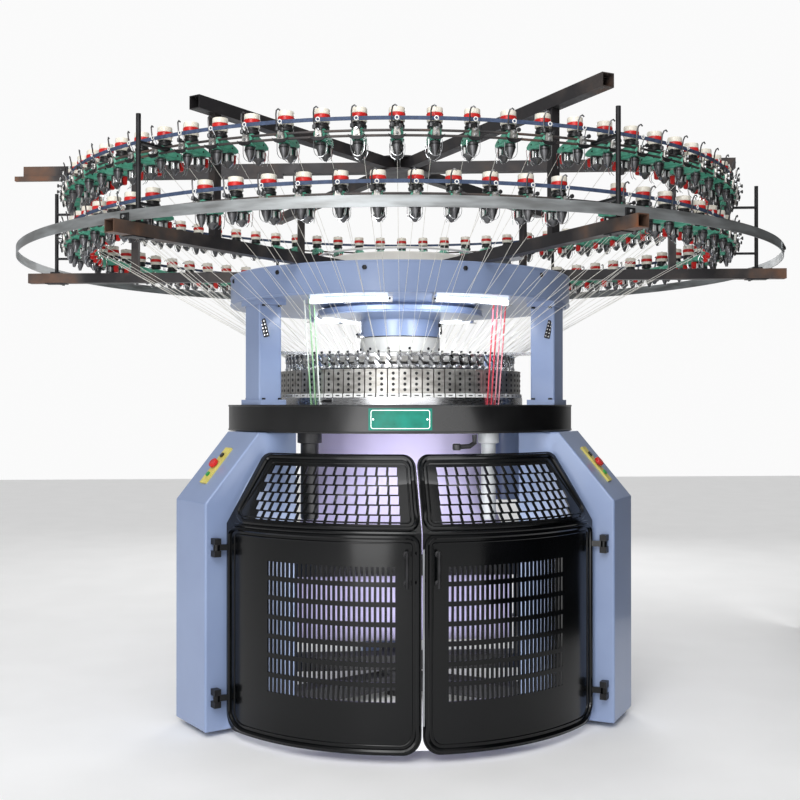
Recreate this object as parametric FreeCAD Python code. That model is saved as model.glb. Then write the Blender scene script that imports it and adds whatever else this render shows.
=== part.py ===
"""Circular double-knit machine with an overhead ring of belt-driven yarn feeders.

Frame: millimetres, +Z up, origin on the floor under the machine's axis, door seam towards -Y.
Plan places are polar: a radius from the axis and an azimuth in degrees, 0 at -Y, growing to +X.
A piece that repeats round the axis is drawn along +X (outwards) and then turned to its azimuth.
"""
import FreeCAD, Part
import math
import os

V = FreeCAD.Vector
ORIGIN = V(0, 0, 0)
UP = V(0, 0, 1)

# Clearances
RUN = 0.05            # radial gap of a shaft in its bearing
AIR = 0.3             # gap between neighbours that move past each other
SIDE_AIR = 3.0        # gap beside a door

# Legs and base
LEG_AZIMUTHS = (-60, 60, 180)
LEG_INNER = 580.0
LEG_OUTER = 965.0
LEG_WIDTH = 270.0
LEG_WALL = 14.0
LEG_EDGE = 8.0
SHOULDER_DROP = 259.0
SHOULDER_MARGIN = 21.0  # shoulder beyond the bed's edge
LEG_SILL = 150.0
FOOT_HEIGHT = 20.0
FOOT_RADIUS = 45.0
FOOT_INSET = 75.0
CENTRE_FOOT = 60.0
BEAM_WIDTH = 100.0
BEAM_LOW = 32.0
BEAM_HIGH = 92.0
BEARING_RADIUS = 90.0
BEARING_TOP = 110.0

# Bed, the heavy ring on the legs
BED_BOTTOM = 1125.0
BED_HEIGHT = 106.0
BED_RADIUS = 724.0
BED_WALL = 24.0
BED_PLATE = 18.0
PLATE_WIDTH = 232.0
PLATE_AZIMUTH = -4.5
PLATE_HEIGHT = 80.0
PLATE_THICK = 3.0

# Needle cylinder and its drive
NEEDLE_RADIUS = 431.8
CYLINDER_WALL = 31.8
GEAR_MODULE = 6.0
GEAR_TEETH = 160
PINION_TEETH = 32
GEAR_HEIGHT = 50.0
TIP = 0.8             # tooth height above the pitch line, in modules
ROOT = 1.1            # tooth depth below the pitch line, in modules
DRIVE_AZIMUTH = 120
DRIVE_SHAFT = 18.0
MOTOR_RADIUS = 85.0
MOTOR_HEIGHT = 320.0
TERMINAL_BOX = (65.0, 90.0, 90.0)   # depth, width and height of the motor's terminal box
TERMINAL_SUNK = 30.0
TERMINAL_RISE = 110.0

# Cams, yarn guides and dial
CAM_COUNT = 72
CAM_ROOM = 10.2        # needles' circle to the cam boxes
CAM_DEPTH = 69.0
CAM_RING_LAP = 9.0     # bright ring beyond the cam boxes
WINDOW_AZIMUTHS = (-38, 44)
WINDOW_DEPTH = 12.0
WINDOW_WIDTH = 50.0
WINDOW_EDGE = 7.0
CAM_SPLIT = 0.25      # half gap between cam boxes, in degrees
CAM_RING_HEIGHT = 28.0
CAM_HEIGHT = 109.0
CAM_LIP = 5.0
CAM_LIP_HEIGHT = 16.0
GUIDE_BAR = 8.0
GUIDE_HEIGHT = 12.0
GUIDE_RISE = 52.0      # guide ring above the cylinder
GUIDE_OUT = 46.2       # guide ring beyond the needles
GUIDE_TIP_OUT = 14.2
GUIDE_PLATE = 3.0
GUIDE_ARC = 1.6       # width of a yarn guide, in degrees
ARM_HEIGHT = 12.0
DIAL_CAM_THICK = 25.0
DIAL_RISE = 8.0        # dial above the cylinder
DIAL_CAM_RISE = 32.0
DIAL_INSET = 6.8       # dial's edge inside the needles
DIAL_CAM_LAP = 13.0
DIAL_SHAFT = 30.0
SHAFT_ROOM = 6.0

# Hub and head casting
HUB_RADIUS = 170.0
COLUMN_HEIGHT = 410.0
LOWER_HUB_DROP = 190.0  # hub edges below the head casting
UPPER_HUB_DROP = 126.0
FLARE_DROP = 54.0
FLARE_SKIRT = 39.0
FLARE_LIP = 12.0
FLARE_CHAMFER = 40.0
FLARE_RADIUS = 350.0
HEAD_HEIGHT = 119.0
HEAD_INSET = 7.5       # head's edge inside the bed's
HEAD_WALL = 16.0
HEAD_PLATE = 18.0
HEAD_MOUTH = 300.0
COVER_RADIUS = 350.0
COVER_HEIGHT = 100.0
COVER_WALL = 8.0
COVER_SIDE = 40.0
COVER_SLOPE = 50.0
COVER_CROWN = 12.0
COLUMN_INSET = 69.0    # columns' middle inside the bed's edge
COLUMN_DEPTH = 100.0
COLUMN_WIDTH = 120.0
COLUMN_FLANGE = 20.0
FLANGE_LAP = 20.0
FLANGE_BACK = 8.0
FLANGE_FRONT = 6.0
BOLT_RADIUS = 8.0
BOLT_HEIGHT = 7.0
LAMP_RADIUS = 600.0
LAMP_WIDTH = 24.0
LAMP_HEIGHT = 22.0
LAMP_ARC = 30.0
LAMP_PAD = 4.0
LAMP_PAD_ARC = 3.0
LAMP_PAD_INSET = 2.0
LAMP_AZIMUTHS = (-24, 24, 180 - 24, 180 + 24)

# Overhead structure
ARM_FIRST = -38
ARM_COUNT = 6
ARM_TUBE = 42.0
ARM_WALL = 3.0
LOWER_ARM_START = 362.0
LOWER_ARM_END = 1620.0
TOP_TUBE = 45.0
TOP_ARM_RISE = 420.0   # top arms above the lower ones
TOP_ARM_ENDS = (1250.0, 1450.0, 1410.0, 1350.0, 1500.0, 1640.0)
TOP_ARM_START = 52.0
RAIL_TUBE = 20.0
RAIL_START = 500.0
RAIL_END = 1674.0
HUB_PLATE_RADIUS = 130.0
HUB_PLATE_THICK = 6.0
INNER_POST_RADIUS = 1150.0
INNER_POST_TUBE = 30.0
OUTER_POST_RADIUS = 1500.0
OUTER_POST_ROD = 8.0
OUTER_POST_RISE = 348.0
POST_FOOT = 42.0
POST_FOOT_THICK = 6.0
STRIP_RADIUS = 1555.0
STRIP_HEIGHT = 35.0
STRIP_THICK = 3.0
SPLICE_AZIMUTH = 62
SPLICE_ARC = 4.0
SPLICE_EDGE = 4.0

# Yarn feeders
FEEDER_COUNT = 72
FEEDER_RING = 1375.0
FEEDER_ROD = 4.0
ROD_FIT = 0.2
ROD_GAP = 16.0
FEEDER_AXIS = 1339.0
FEEDER_INNER = 1258.0
FEEDER_BODY = 26.0
FEEDER_WIDTH = 24.0
FEEDER_DRUM = 20.0
DRUM_LENGTH = 46.0
WHEEL_RADIUS = 25.0
WHEEL_HEIGHT = 64.0
WHEEL_PIN = 5.0
BELT_THICK = 2.0
BELT_WIDTH = 12.0
BELT_RISE = 21.0      # belt's lower edge over the wheels' undersides
UPPER_TIER_RISE = 206.0
LOWER_TIER_RISE = 13.0
LOWER_TIER_SHIFT = 2.5
POST_CLEAR = 2.0      # feeders this close to an arm, in degrees, are left out
COLUMN_CLEAR = 10.0   # yarns this close to a column, in degrees, are left out
YARN_RADIUS = 0.8
PULLEY_AZIMUTH = 97
PULLEY_AT = 440.0
PULLEY_RADIUS = 110.0
PULLEY_THICK = 24.0
PULLEY_RISE = 108.0
STAND_RADIUS = 80.0
PULLEY_SPINDLE = 14.0

# Take-down, inside the legs
FRAME_HALF = 540.0
FRAME_PLATE = 20.0
FRAME_FRONT = 120.0
FRAME_BACK = 150.0
FRAME_TOP = 620.0
CROSSBEAM_HEIGHT = 60.0
CROSSBEAM_HALF = 50.0
SPINDLE_RADIUS = 40.0
SPINDLE_LOW = 60.0
NIP_RADIUS = 35.0
NIP_HEIGHT = 540.0
NIP_AXLE = 12.0
CLOTH = 1.6           # thickness of the knitted fabric
ROLL_RADIUS = 100.0
ROLL_HEIGHT = 300.0
ROLL_AXLE = 15.0
WEB_HALF = 490.0
TUBE_RADIUS = 360.0

# Doors
DOOR_ARC = 810.0
DOOR_CENTRE_Y = -140.0
DOOR_WALL = 8.0
DOOR_BOTTOM = 30.0
DOOR_DROP = 75.0        # doors' top below the bed
DOOR_UPPER = 260.0      # height of the leaning part
DOOR_LEAN = 244.5
DOOR_GAP = 2.0        # half gap at the seam
DOOR_CORNER = 65.0
TOP_CORNER = 45.0
UPPER_EDGE_X = 556.0
SLOT_ROWS = 7
SLOT_COLUMNS = 27
SLOT_WIDTH = 10.0
SLOT_HEIGHT = 52.0
SLOT_PITCH = 68.7
SLOT_FIRST_Z = 236.0
SLOT_FIRST_ARC = 6.9
SLOT_ARC = 1.31
HOLE_ROWS = 6
HOLE_COLUMNS = 15
HOLE_SIZE = 30.0
HOLE_FIRST_Z = 831.0
HOLE_PITCH_Z = 32.0
HOLE_HEIGHT = 27.0
HOLE_FIRST_ARC = 6.2
HOLE_ARC = 2.75
HOLE_MARGIN = 62.0
HINGE_RADIUS = 930.0
HINGE_OUT = 22.0
HINGE_PIN = 6.0
HINGE_HEIGHT = 68.0
HINGE_LEVELS = (149.0, 704.0)
KNUCKLE = 13.0
STRAP_HALF = 5.0
STRAP_INSET = 14.0
HANDLE_X = 55.0
HANDLE_Z = 668.0
HANDLE_LENGTH = 124.0
HANDLE_ROD = 6.0
HANDLE_FOOT = 5.0
HANDLE_REACH = 38.0
SEAM_WIDTH = 19.0
SEAM_THICK = 4.0
SEAM_LOW = 130.0
SEAM_HIGH = 735.0

# Control plates on the two front legs
PANEL_LENGTH = 170.0
PANEL_WIDTH = 50.0
PANEL_THICK = 8.0
PANEL_BACK = 2.0      # floor left under the buttons' bores
STOP_STEM = 8.0
STOP_HEAD = 19.0
STOP_TRAVEL = 5.5
STOP_HEIGHT = 14.0
STOP_ROUND = 4.0
BUTTON_RADIUS = 10.0
BUTTON_PROUD = 6.0
BUTTON_TRAVEL = 3.5
BUTTON_SPACING = 46.0

# Oil tubes, from the head's underside down to the cam ring
OIL_AZIMUTHS = (-46.5, -43.8, -41.3, 36.3, 38.7, 41.2, 43.7)
OIL_TUBE = 3.0
OIL_TOP_RADIUS = 560.0

BED_TOP = BED_BOTTOM + BED_HEIGHT
SHOULDER_RADIUS = BED_RADIUS + SHOULDER_MARGIN
COLUMN_RADIUS = BED_RADIUS - COLUMN_INSET
HEAD_RADIUS = BED_RADIUS - HEAD_INSET
HEAD_BOTTOM = BED_TOP + COLUMN_HEIGHT
LOWER_HUB_BOTTOM = HEAD_BOTTOM - LOWER_HUB_DROP
UPPER_HUB_BOTTOM = HEAD_BOTTOM - UPPER_HUB_DROP
FLARE_LOW = HEAD_BOTTOM - FLARE_DROP
FLARE_HIGH = HEAD_BOTTOM - FLARE_SKIRT
DOOR_TOP = BED_BOTTOM - DOOR_DROP
DOOR_CREASE = DOOR_TOP - DOOR_UPPER
SLOPE_LOW = BED_BOTTOM - SHOULDER_DROP
HEAD_TOP = HEAD_BOTTOM + HEAD_HEIGHT
CAM_RING_TOP = BED_TOP + CAM_RING_HEIGHT
CAM_TOP = CAM_RING_TOP + CAM_HEIGHT
CYLINDER_TOP = CAM_TOP
DIAL_BOTTOM = CYLINDER_TOP + DIAL_RISE
DIAL_CAM_BOTTOM = CYLINDER_TOP + DIAL_CAM_RISE
GUIDE_LOW = CYLINDER_TOP + GUIDE_RISE
GUIDE_HIGH = GUIDE_LOW + GUIDE_HEIGHT
DIAL_RADIUS = NEEDLE_RADIUS - DIAL_INSET
DIAL_CAM_RADIUS = DIAL_RADIUS + DIAL_CAM_LAP
CAM_INNER = NEEDLE_RADIUS + CAM_ROOM
CAM_OUTER = CAM_INNER + CAM_DEPTH
CAM_RING_INNER = CAM_INNER - 2
CAM_RING_OUTER = CAM_OUTER + CAM_RING_LAP
GUIDE_RING = NEEDLE_RADIUS + GUIDE_OUT
GUIDE_TIP = NEEDLE_RADIUS + GUIDE_TIP_OUT
BED_BORE = NEEDLE_RADIUS - 1.8
ARM_TOP = HEAD_TOP + ARM_TUBE
TOP_ARM_BOTTOM = ARM_TOP + TOP_ARM_RISE
TOP_ARM_TOP = TOP_ARM_BOTTOM + TOP_TUBE
OUTER_POST_TOP = ARM_TOP + OUTER_POST_RISE
UPPER_TIER = ARM_TOP + UPPER_TIER_RISE
LOWER_TIER = ARM_TOP + LOWER_TIER_RISE
PULLEY_BOTTOM = HEAD_TOP + PULLEY_RISE
GEAR_RADIUS = GEAR_MODULE * GEAR_TEETH / 2
BED_MOUTH = GEAR_RADIUS + 15
PINION_RADIUS = GEAR_MODULE * PINION_TEETH / 2
DRIVE_RADIUS = GEAR_RADIUS + PINION_RADIUS
GEAR_BOTTOM = BED_BOTTOM + BED_PLATE + AIR
GEAR_TOP = GEAR_BOTTOM + GEAR_HEIGHT
CYLINDER_BORE = NEEDLE_RADIUS - CYLINDER_WALL
ARM_AZIMUTHS = [ARM_FIRST + 360 / ARM_COUNT * i for i in range(ARM_COUNT)]
PITCH = 360 / FEEDER_COUNT


def polar(radius, azimuth, z=0.0):
    """Point at a radius, azimuth and height."""
    turn = math.radians(azimuth)
    return V(radius * math.sin(turn), -radius * math.cos(turn), z)


def turned(shape, azimuth):
    """Copy of a piece drawn along +X, turned to an azimuth."""
    copy = shape.copy()
    copy.rotate(ORIGIN, UP, azimuth - 90)
    return copy


def block(x, y, z):
    """Box between pairs of X, Y and Z."""
    return Part.makeBox(x[1] - x[0], y[1] - y[0], z[1] - z[0], V(x[0], y[0], z[0]))


def rod(radius, start, end):
    """Round bar between two points."""
    return Part.makeCylinder(radius, (end - start).Length, start, end - start)


def upright(radius, x, y, low, high):
    """Round bar along Z."""
    return Part.makeCylinder(radius, high - low, V(x, y, low))


def filled(points):
    """Flat face with straight sides."""
    return Part.Face(Part.makePolygon(points + points[:1]))


def revolved(outline, angle=360.0):
    """Solid turned about the machine's axis from (radius, height) points, starting at +X."""
    return filled([V(r, 0, z) for r, z in outline]).revolve(ORIGIN, UP, angle)


def sector(outline, azimuth, angle):
    """Part of a ring, centred on an azimuth."""
    piece = revolved(outline, angle)
    piece.rotate(ORIGIN, UP, azimuth - 90 - angle / 2)
    return piece


def ring(inner, outer, low, high):
    """Flat ring about the machine's axis."""
    return revolved([(inner, low), (outer, low), (outer, high), (inner, high)])


def side_prism(outline, width):
    """Prism of a (radius, height) outline, centred on the X-Z plane."""
    face = filled([V(x, -width / 2, z) for x, z in outline])
    return face.extrude(V(0, width, 0))


def square_tube(size, wall, start, end, bottom):
    """Square tube along +X, open at both ends."""
    outer = block((start, end), (-size / 2, size / 2), (bottom, bottom + size))
    half = size / 2 - wall
    return outer.cut(block((start - 1, end + 1), (-half, half), (bottom + wall, bottom + size - wall)))


def fused(first, *others):
    """One solid from touching pieces."""
    return first.fuse(list(others)).removeSplitter()


def save(name, solids):
    """Write one node: a solid, or a group of separate solids."""
    solids = solids if isinstance(solids, list) else [solids]
    shape = solids[0] if len(solids) == 1 else Part.makeCompound(solids)
    shape.exportStep("parts/" + name + ".step")


# ---- Legs, base and bed ----

def leg_outline(sill, inner):
    return [(inner, sill), (LEG_OUTER, sill), (LEG_OUTER, SLOPE_LOW),
            (SHOULDER_RADIUS, BED_BOTTOM), (inner, BED_BOTTOM)]


def leg(azimuth):
    """Box leg with a sloping shoulder, hollow and open towards the machine's axis."""
    body = side_prism(leg_outline(FOOT_HEIGHT, LEG_INNER), LEG_WIDTH)
    body = body.makeFillet(LEG_EDGE, body.Edges)
    outline = filled([V(x, 0, z) for x, z in leg_outline(LEG_SILL - LEG_WALL, LEG_INNER - 4 * LEG_WALL)])
    inside = outline.makeOffset2D(-LEG_WALL, 2)
    inside.translate(V(0, LEG_WALL - LEG_WIDTH / 2, 0))
    cavity = inside.extrude(V(0, LEG_WIDTH - 2 * LEG_WALL, 0))
    return turned(body.cut(cavity), azimuth)


def foot_pads():
    """Two pads under each leg, and one under the middle that carries the take-down's bearing."""
    spots = [(LEG_INNER + FOOT_INSET, 0), (LEG_OUTER - FOOT_INSET, 0)]
    pads = [turned(upright(FOOT_RADIUS, x, y, 0, FOOT_HEIGHT), azimuth)
            for azimuth in LEG_AZIMUTHS for x, y in spots]
    return pads + [upright(CENTRE_FOOT, 0, 0, 0, BEAM_LOW)]


def base_spider():
    """Three beams between the legs, with the take-down's bearing where they meet."""
    hub = upright(BEARING_RADIUS, 0, 0, BEAM_LOW, BEARING_TOP)
    beams = [turned(block((BEARING_RADIUS / 2, LEG_INNER), (-BEAM_WIDTH / 2, BEAM_WIDTH / 2),
                          (BEAM_LOW, BEAM_HIGH)), azimuth) for azimuth in LEG_AZIMUTHS]
    bore = upright(SPINDLE_RADIUS + RUN, 0, 0, SPINDLE_LOW - AIR, BEARING_TOP + 1)
    return fused(hub, *beams).cut(bore)


def bed_ring():
    """Bed casting: floor, outer wall and top, hollow inside for the ring gear."""
    floor_top = BED_BOTTOM + BED_PLATE
    roof = BED_TOP - BED_PLATE
    wall = BED_RADIUS - BED_WALL
    casting = revolved([(BED_BORE, BED_BOTTOM), (BED_RADIUS, BED_BOTTOM), (BED_RADIUS, BED_TOP),
                        (BED_MOUTH, BED_TOP), (BED_MOUTH, roof), (wall, roof),
                        (wall, floor_top), (BED_BORE, floor_top)])
    bore = upright(DRIVE_SHAFT + RUN, DRIVE_RADIUS, 0, BED_BOTTOM - 1, floor_top + 1)
    return casting.cut(turned(bore, DRIVE_AZIMUTH))


def name_plate():
    """Blank plate that follows the bed's front."""
    middle = BED_BOTTOM + BED_HEIGHT / 2
    outline = [(BED_RADIUS, middle - PLATE_HEIGHT / 2), (BED_RADIUS + PLATE_THICK, middle - PLATE_HEIGHT / 2),
               (BED_RADIUS + PLATE_THICK, middle + PLATE_HEIGHT / 2), (BED_RADIUS, middle + PLATE_HEIGHT / 2)]
    return sector(outline, PLATE_AZIMUTH, math.degrees(PLATE_WIDTH / BED_RADIUS))


# ---- Needle cylinder, dial and drive ----

def gear_face(teeth, phase):
    """Toothed outline in plan about the origin; phase turns it by a share of one tooth."""
    pitch = 360 / teeth
    radius = GEAR_MODULE * teeth / 2
    tip = radius + TIP * GEAR_MODULE
    root = radius - ROOT * GEAR_MODULE
    points = []
    for tooth in range(teeth):
        for share, reach in ((-0.28, root), (-0.12, tip), (0.12, tip), (0.28, root)):
            turn = math.radians((tooth + phase + share) * pitch)
            points.append(V(reach * math.cos(turn), reach * math.sin(turn), 0))
    return filled(points)


def cylinder_gear():
    """Ring gear that carries the needle cylinder; a tooth points along +X before turning."""
    face = gear_face(GEAR_TEETH, 0)
    face.translate(V(0, 0, GEAR_BOTTOM))
    blank = face.extrude(V(0, 0, GEAR_HEIGHT))
    return turned(blank.cut(upright(CYLINDER_BORE, 0, 0, GEAR_BOTTOM - 1, GEAR_TOP + 1)), DRIVE_AZIMUTH)


def drive_shaft():
    """Motor shaft with its pinion, in mesh with the ring gear."""
    face = gear_face(PINION_TEETH, 0.5)
    face.translate(V(DRIVE_RADIUS, 0, GEAR_BOTTOM + AIR))
    pinion = face.extrude(V(0, 0, GEAR_HEIGHT - 2 * AIR))
    shaft = upright(DRIVE_SHAFT, DRIVE_RADIUS, 0, BED_BOTTOM - BED_PLATE, GEAR_TOP)
    return turned(fused(pinion, shaft), DRIVE_AZIMUTH)


def drive_motor():
    """Upright motor bolted under the bed, with a terminal box on its outer side."""
    low = BED_BOTTOM - MOTOR_HEIGHT
    can = upright(MOTOR_RADIUS, DRIVE_RADIUS, 0, low, BED_BOTTOM)
    outer = DRIVE_RADIUS + MOTOR_RADIUS
    depth, width, height = TERMINAL_BOX
    start = outer - TERMINAL_SUNK
    box = block((start, start + depth), (-width / 2, width / 2), (low + TERMINAL_RISE, low + TERMINAL_RISE + height))
    socket = upright(DRIVE_SHAFT + RUN, DRIVE_RADIUS, 0, BED_BOTTOM - BED_PLATE - AIR, BED_BOTTOM + 1)
    return turned(fused(can, box).cut(socket), DRIVE_AZIMUTH)


def needle_cylinder():
    chamfer = 4.0
    return revolved([(CYLINDER_BORE, GEAR_TOP), (NEEDLE_RADIUS, GEAR_TOP),
                     (NEEDLE_RADIUS, CYLINDER_TOP - chamfer), (NEEDLE_RADIUS - chamfer, CYLINDER_TOP),
                     (CYLINDER_BORE, CYLINDER_TOP)])


def dial():
    """Dial plate hung on its shaft; the collar rests on the head casting's floor."""
    top = DIAL_CAM_BOTTOM - AIR
    rim = 10.0
    collar = HEAD_BOTTOM + HEAD_PLATE + AIR
    collar_height = 16.0
    return revolved([(0, DIAL_BOTTOM), (DIAL_RADIUS, DIAL_BOTTOM), (DIAL_RADIUS, top - rim),
                     (DIAL_RADIUS - rim, top), (DIAL_SHAFT, top), (DIAL_SHAFT, collar),
                     (DIAL_SHAFT + 20, collar), (DIAL_SHAFT + 20, collar + collar_height),
                     (0, collar + collar_height)])


# ---- Cams and yarn guides ----

def cam_ring():
    """Bright ring under the cam boxes, with two inspection windows in its face."""
    body = ring(CAM_RING_INNER, CAM_RING_OUTER, BED_TOP, CAM_RING_TOP)
    window = block((CAM_RING_OUTER - WINDOW_DEPTH, CAM_RING_OUTER + 1), (-WINDOW_WIDTH / 2, WINDOW_WIDTH / 2),
                   (BED_TOP + WINDOW_EDGE, CAM_RING_TOP - WINDOW_EDGE))
    return body.cut([turned(window, azimuth) for azimuth in WINDOW_AZIMUTHS])


def cam_boxes():
    lip = CAM_OUTER + CAM_LIP
    lip_top = CAM_RING_TOP + CAM_LIP_HEIGHT
    outline = [(CAM_INNER, CAM_RING_TOP), (lip, CAM_RING_TOP), (lip, lip_top), (CAM_OUTER, lip_top),
               (CAM_OUTER, CAM_TOP), (CAM_INNER, CAM_TOP)]
    pitch = 360 / CAM_COUNT
    return [sector(outline, pitch * (i + 0.5), pitch - 2 * CAM_SPLIT) for i in range(CAM_COUNT)]


def guide_ring():
    """Ring that carries the yarn guides, on three arms from the columns."""
    body = ring(GUIDE_RING - GUIDE_BAR, GUIDE_RING, GUIDE_LOW, GUIDE_HIGH)
    arm = block((GUIDE_RING - GUIDE_BAR, COLUMN_RADIUS - COLUMN_DEPTH / 2), (-20, 20),
                (GUIDE_HIGH, GUIDE_HIGH + ARM_HEIGHT))
    return fused(body, *[turned(arm, azimuth) for azimuth in LEG_AZIMUTHS])


def yarn_guides():
    """Bent blades on the ring's outer face, their tips over the needles."""
    low = CAM_TOP + 5
    face = GUIDE_RING + GUIDE_PLATE
    outline = [(GUIDE_RING, GUIDE_HIGH - 1), (face, GUIDE_HIGH - 1), (face, GUIDE_LOW - 14),
               (GUIDE_TIP, low), (GUIDE_TIP - 2, low + 3), (GUIDE_RING, GUIDE_LOW - 10)]
    return [sector(outline, PITCH * i, GUIDE_ARC) for i in range(FEEDER_COUNT)]


def dial_cam_plate():
    neck = HUB_RADIUS - 5
    bore = DIAL_SHAFT + SHAFT_ROOM
    top = DIAL_CAM_BOTTOM + DIAL_CAM_THICK
    return revolved([(bore, DIAL_CAM_BOTTOM), (DIAL_CAM_RADIUS, DIAL_CAM_BOTTOM), (DIAL_CAM_RADIUS, top),
                     (neck, top + 8), (neck, LOWER_HUB_BOTTOM), (bore, LOWER_HUB_BOTTOM)])


# ---- Hub, columns and head ----

def lower_hub():
    return ring(DIAL_SHAFT + RUN, HUB_RADIUS, LOWER_HUB_BOTTOM, UPPER_HUB_BOTTOM)


def upper_hub():
    """Hub drum that flares out to the head casting."""
    bore = DIAL_SHAFT + SHAFT_ROOM
    return revolved([(bore, UPPER_HUB_BOTTOM), (HUB_RADIUS, UPPER_HUB_BOTTOM), (HUB_RADIUS, FLARE_LOW),
                     (FLARE_RADIUS, FLARE_HIGH), (FLARE_RADIUS, HEAD_BOTTOM - FLARE_LIP),
                     (FLARE_RADIUS - FLARE_CHAMFER, HEAD_BOTTOM), (bore, HEAD_BOTTOM)])


def column(azimuth):
    """Box column with a bolting flange at each end."""
    depth = COLUMN_DEPTH / 2
    width = COLUMN_WIDTH / 2
    post = block((COLUMN_RADIUS - depth, COLUMN_RADIUS + depth), (-width, width), (BED_TOP, HEAD_BOTTOM))
    post = post.makeFillet(LEG_EDGE, [edge for edge in post.Edges if edge.Length > HEAD_BOTTOM - BED_TOP - 1])
    lap = width + FLANGE_LAP
    across = (COLUMN_RADIUS - depth - FLANGE_BACK, COLUMN_RADIUS + depth + FLANGE_FRONT)
    flanges = [block(across, (-lap, lap), (low, low + COLUMN_FLANGE))
               for low in (BED_TOP, HEAD_BOTTOM - COLUMN_FLANGE)]
    return turned(fused(post, *flanges), azimuth)


def hex_head(x, y, low, height):
    """Hexagon bolt head."""
    turns = [math.radians(60 * i) for i in range(6)]
    corners = [V(x + BOLT_RADIUS * math.cos(t), y + BOLT_RADIUS * math.sin(t), low) for t in turns]
    return filled(corners).extrude(V(0, 0, height))


def column_bolts():
    side = COLUMN_WIDTH / 2 + FLANGE_LAP / 2
    reach = COLUMN_DEPTH / 2 - 15
    heads = [(BED_TOP + COLUMN_FLANGE, BOLT_HEIGHT), (HEAD_BOTTOM - COLUMN_FLANGE, -BOLT_HEIGHT)]
    return [turned(hex_head(COLUMN_RADIUS + x, y, low, height), azimuth)
            for azimuth in LEG_AZIMUTHS for low, height in heads
            for x in (-reach, reach) for y in (-side, side)]


def head_casting():
    """Head drum: floor, outer wall and top, open in the middle under the gear cover."""
    inner = HEAD_RADIUS - HEAD_WALL
    floor_top = HEAD_BOTTOM + HEAD_PLATE
    roof = HEAD_TOP - HEAD_WALL
    bore = DIAL_SHAFT + RUN
    return revolved([(bore, HEAD_BOTTOM), (HEAD_RADIUS, HEAD_BOTTOM), (HEAD_RADIUS, HEAD_TOP),
                     (HEAD_MOUTH, HEAD_TOP), (HEAD_MOUTH, roof), (inner, roof),
                     (inner, floor_top), (bore, floor_top)])


def gear_cover():
    """Low domed cover on the head."""
    wall = COVER_WALL
    side = HEAD_TOP + COVER_SIDE
    top = HEAD_TOP + COVER_HEIGHT
    shoulder = COVER_RADIUS - COVER_SLOPE
    crown = top - COVER_CROWN
    return revolved([(COVER_RADIUS - wall, HEAD_TOP), (COVER_RADIUS, HEAD_TOP), (COVER_RADIUS, side),
                     (shoulder, crown), (0, top), (0, top - wall),
                     (shoulder - wall, crown - wall), (COVER_RADIUS - wall, side - wall)])


def lamps():
    """Lamp strips under the head, each with two brackets."""
    low = HEAD_BOTTOM - LAMP_HEIGHT
    inner = LAMP_RADIUS - LAMP_WIDTH / 2
    outer = LAMP_RADIUS + LAMP_WIDTH / 2
    seat = HEAD_BOTTOM - LAMP_PAD
    strip = [(inner, low), (outer, low), (outer, seat), (inner, seat)]
    pad = [(inner, seat), (outer, seat), (outer, HEAD_BOTTOM), (inner, HEAD_BOTTOM)]
    reach = LAMP_ARC / 2 - LAMP_PAD_INSET
    return [fused(sector(strip, azimuth, LAMP_ARC), sector(pad, azimuth - reach, LAMP_PAD_ARC),
                  sector(pad, azimuth + reach, LAMP_PAD_ARC)) for azimuth in LAMP_AZIMUTHS]


# ---- Overhead arms, posts and strip ring ----

def lower_arms():
    """Square tubes that lie on the head, out to the strip ring."""
    return [turned(square_tube(ARM_TUBE, ARM_WALL, LOWER_ARM_START, LOWER_ARM_END, HEAD_TOP), azimuth)
            for azimuth in ARM_AZIMUTHS]


def top_arms():
    """Square tubes from the centre, and a slim rail under the longest one, beside its post."""
    arms = [turned(square_tube(TOP_TUBE, ARM_WALL, TOP_ARM_START, end, TOP_ARM_BOTTOM), azimuth)
            for azimuth, end in zip(ARM_AZIMUTHS, TOP_ARM_ENDS)]
    near = INNER_POST_TUBE / 2 + 1
    rail = block((RAIL_START, RAIL_END), (near, near + RAIL_TUBE), (TOP_ARM_BOTTOM - RAIL_TUBE, TOP_ARM_BOTTOM))
    longest = ARM_AZIMUTHS[TOP_ARM_ENDS.index(max(TOP_ARM_ENDS))]
    return arms + [turned(rail, longest)]


def top_hub():
    """Two plates that clamp the top arms at the centre."""
    return [upright(HUB_PLATE_RADIUS, 0, 0, TOP_ARM_BOTTOM - HUB_PLATE_THICK, TOP_ARM_BOTTOM),
            upright(HUB_PLATE_RADIUS, 0, 0, TOP_ARM_TOP, TOP_ARM_TOP + HUB_PLATE_THICK)]


def inner_posts():
    half = INNER_POST_TUBE / 2
    bore = half - ARM_WALL
    post = block((-half, half), (-half, half), (ARM_TOP, TOP_ARM_BOTTOM))
    post = post.cut(block((-bore, bore), (-bore, bore), (ARM_TOP - 1, TOP_ARM_BOTTOM + 1)))
    post.translate(V(INNER_POST_RADIUS, 0, 0))
    return [turned(post, azimuth) for azimuth in ARM_AZIMUTHS]


def rod_levels(tier):
    """Heights of the two rods that carry a tier of feeders."""
    middle = tier + FEEDER_BODY * 2
    return middle - ROD_GAP / 2, middle + ROD_GAP / 2


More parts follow.
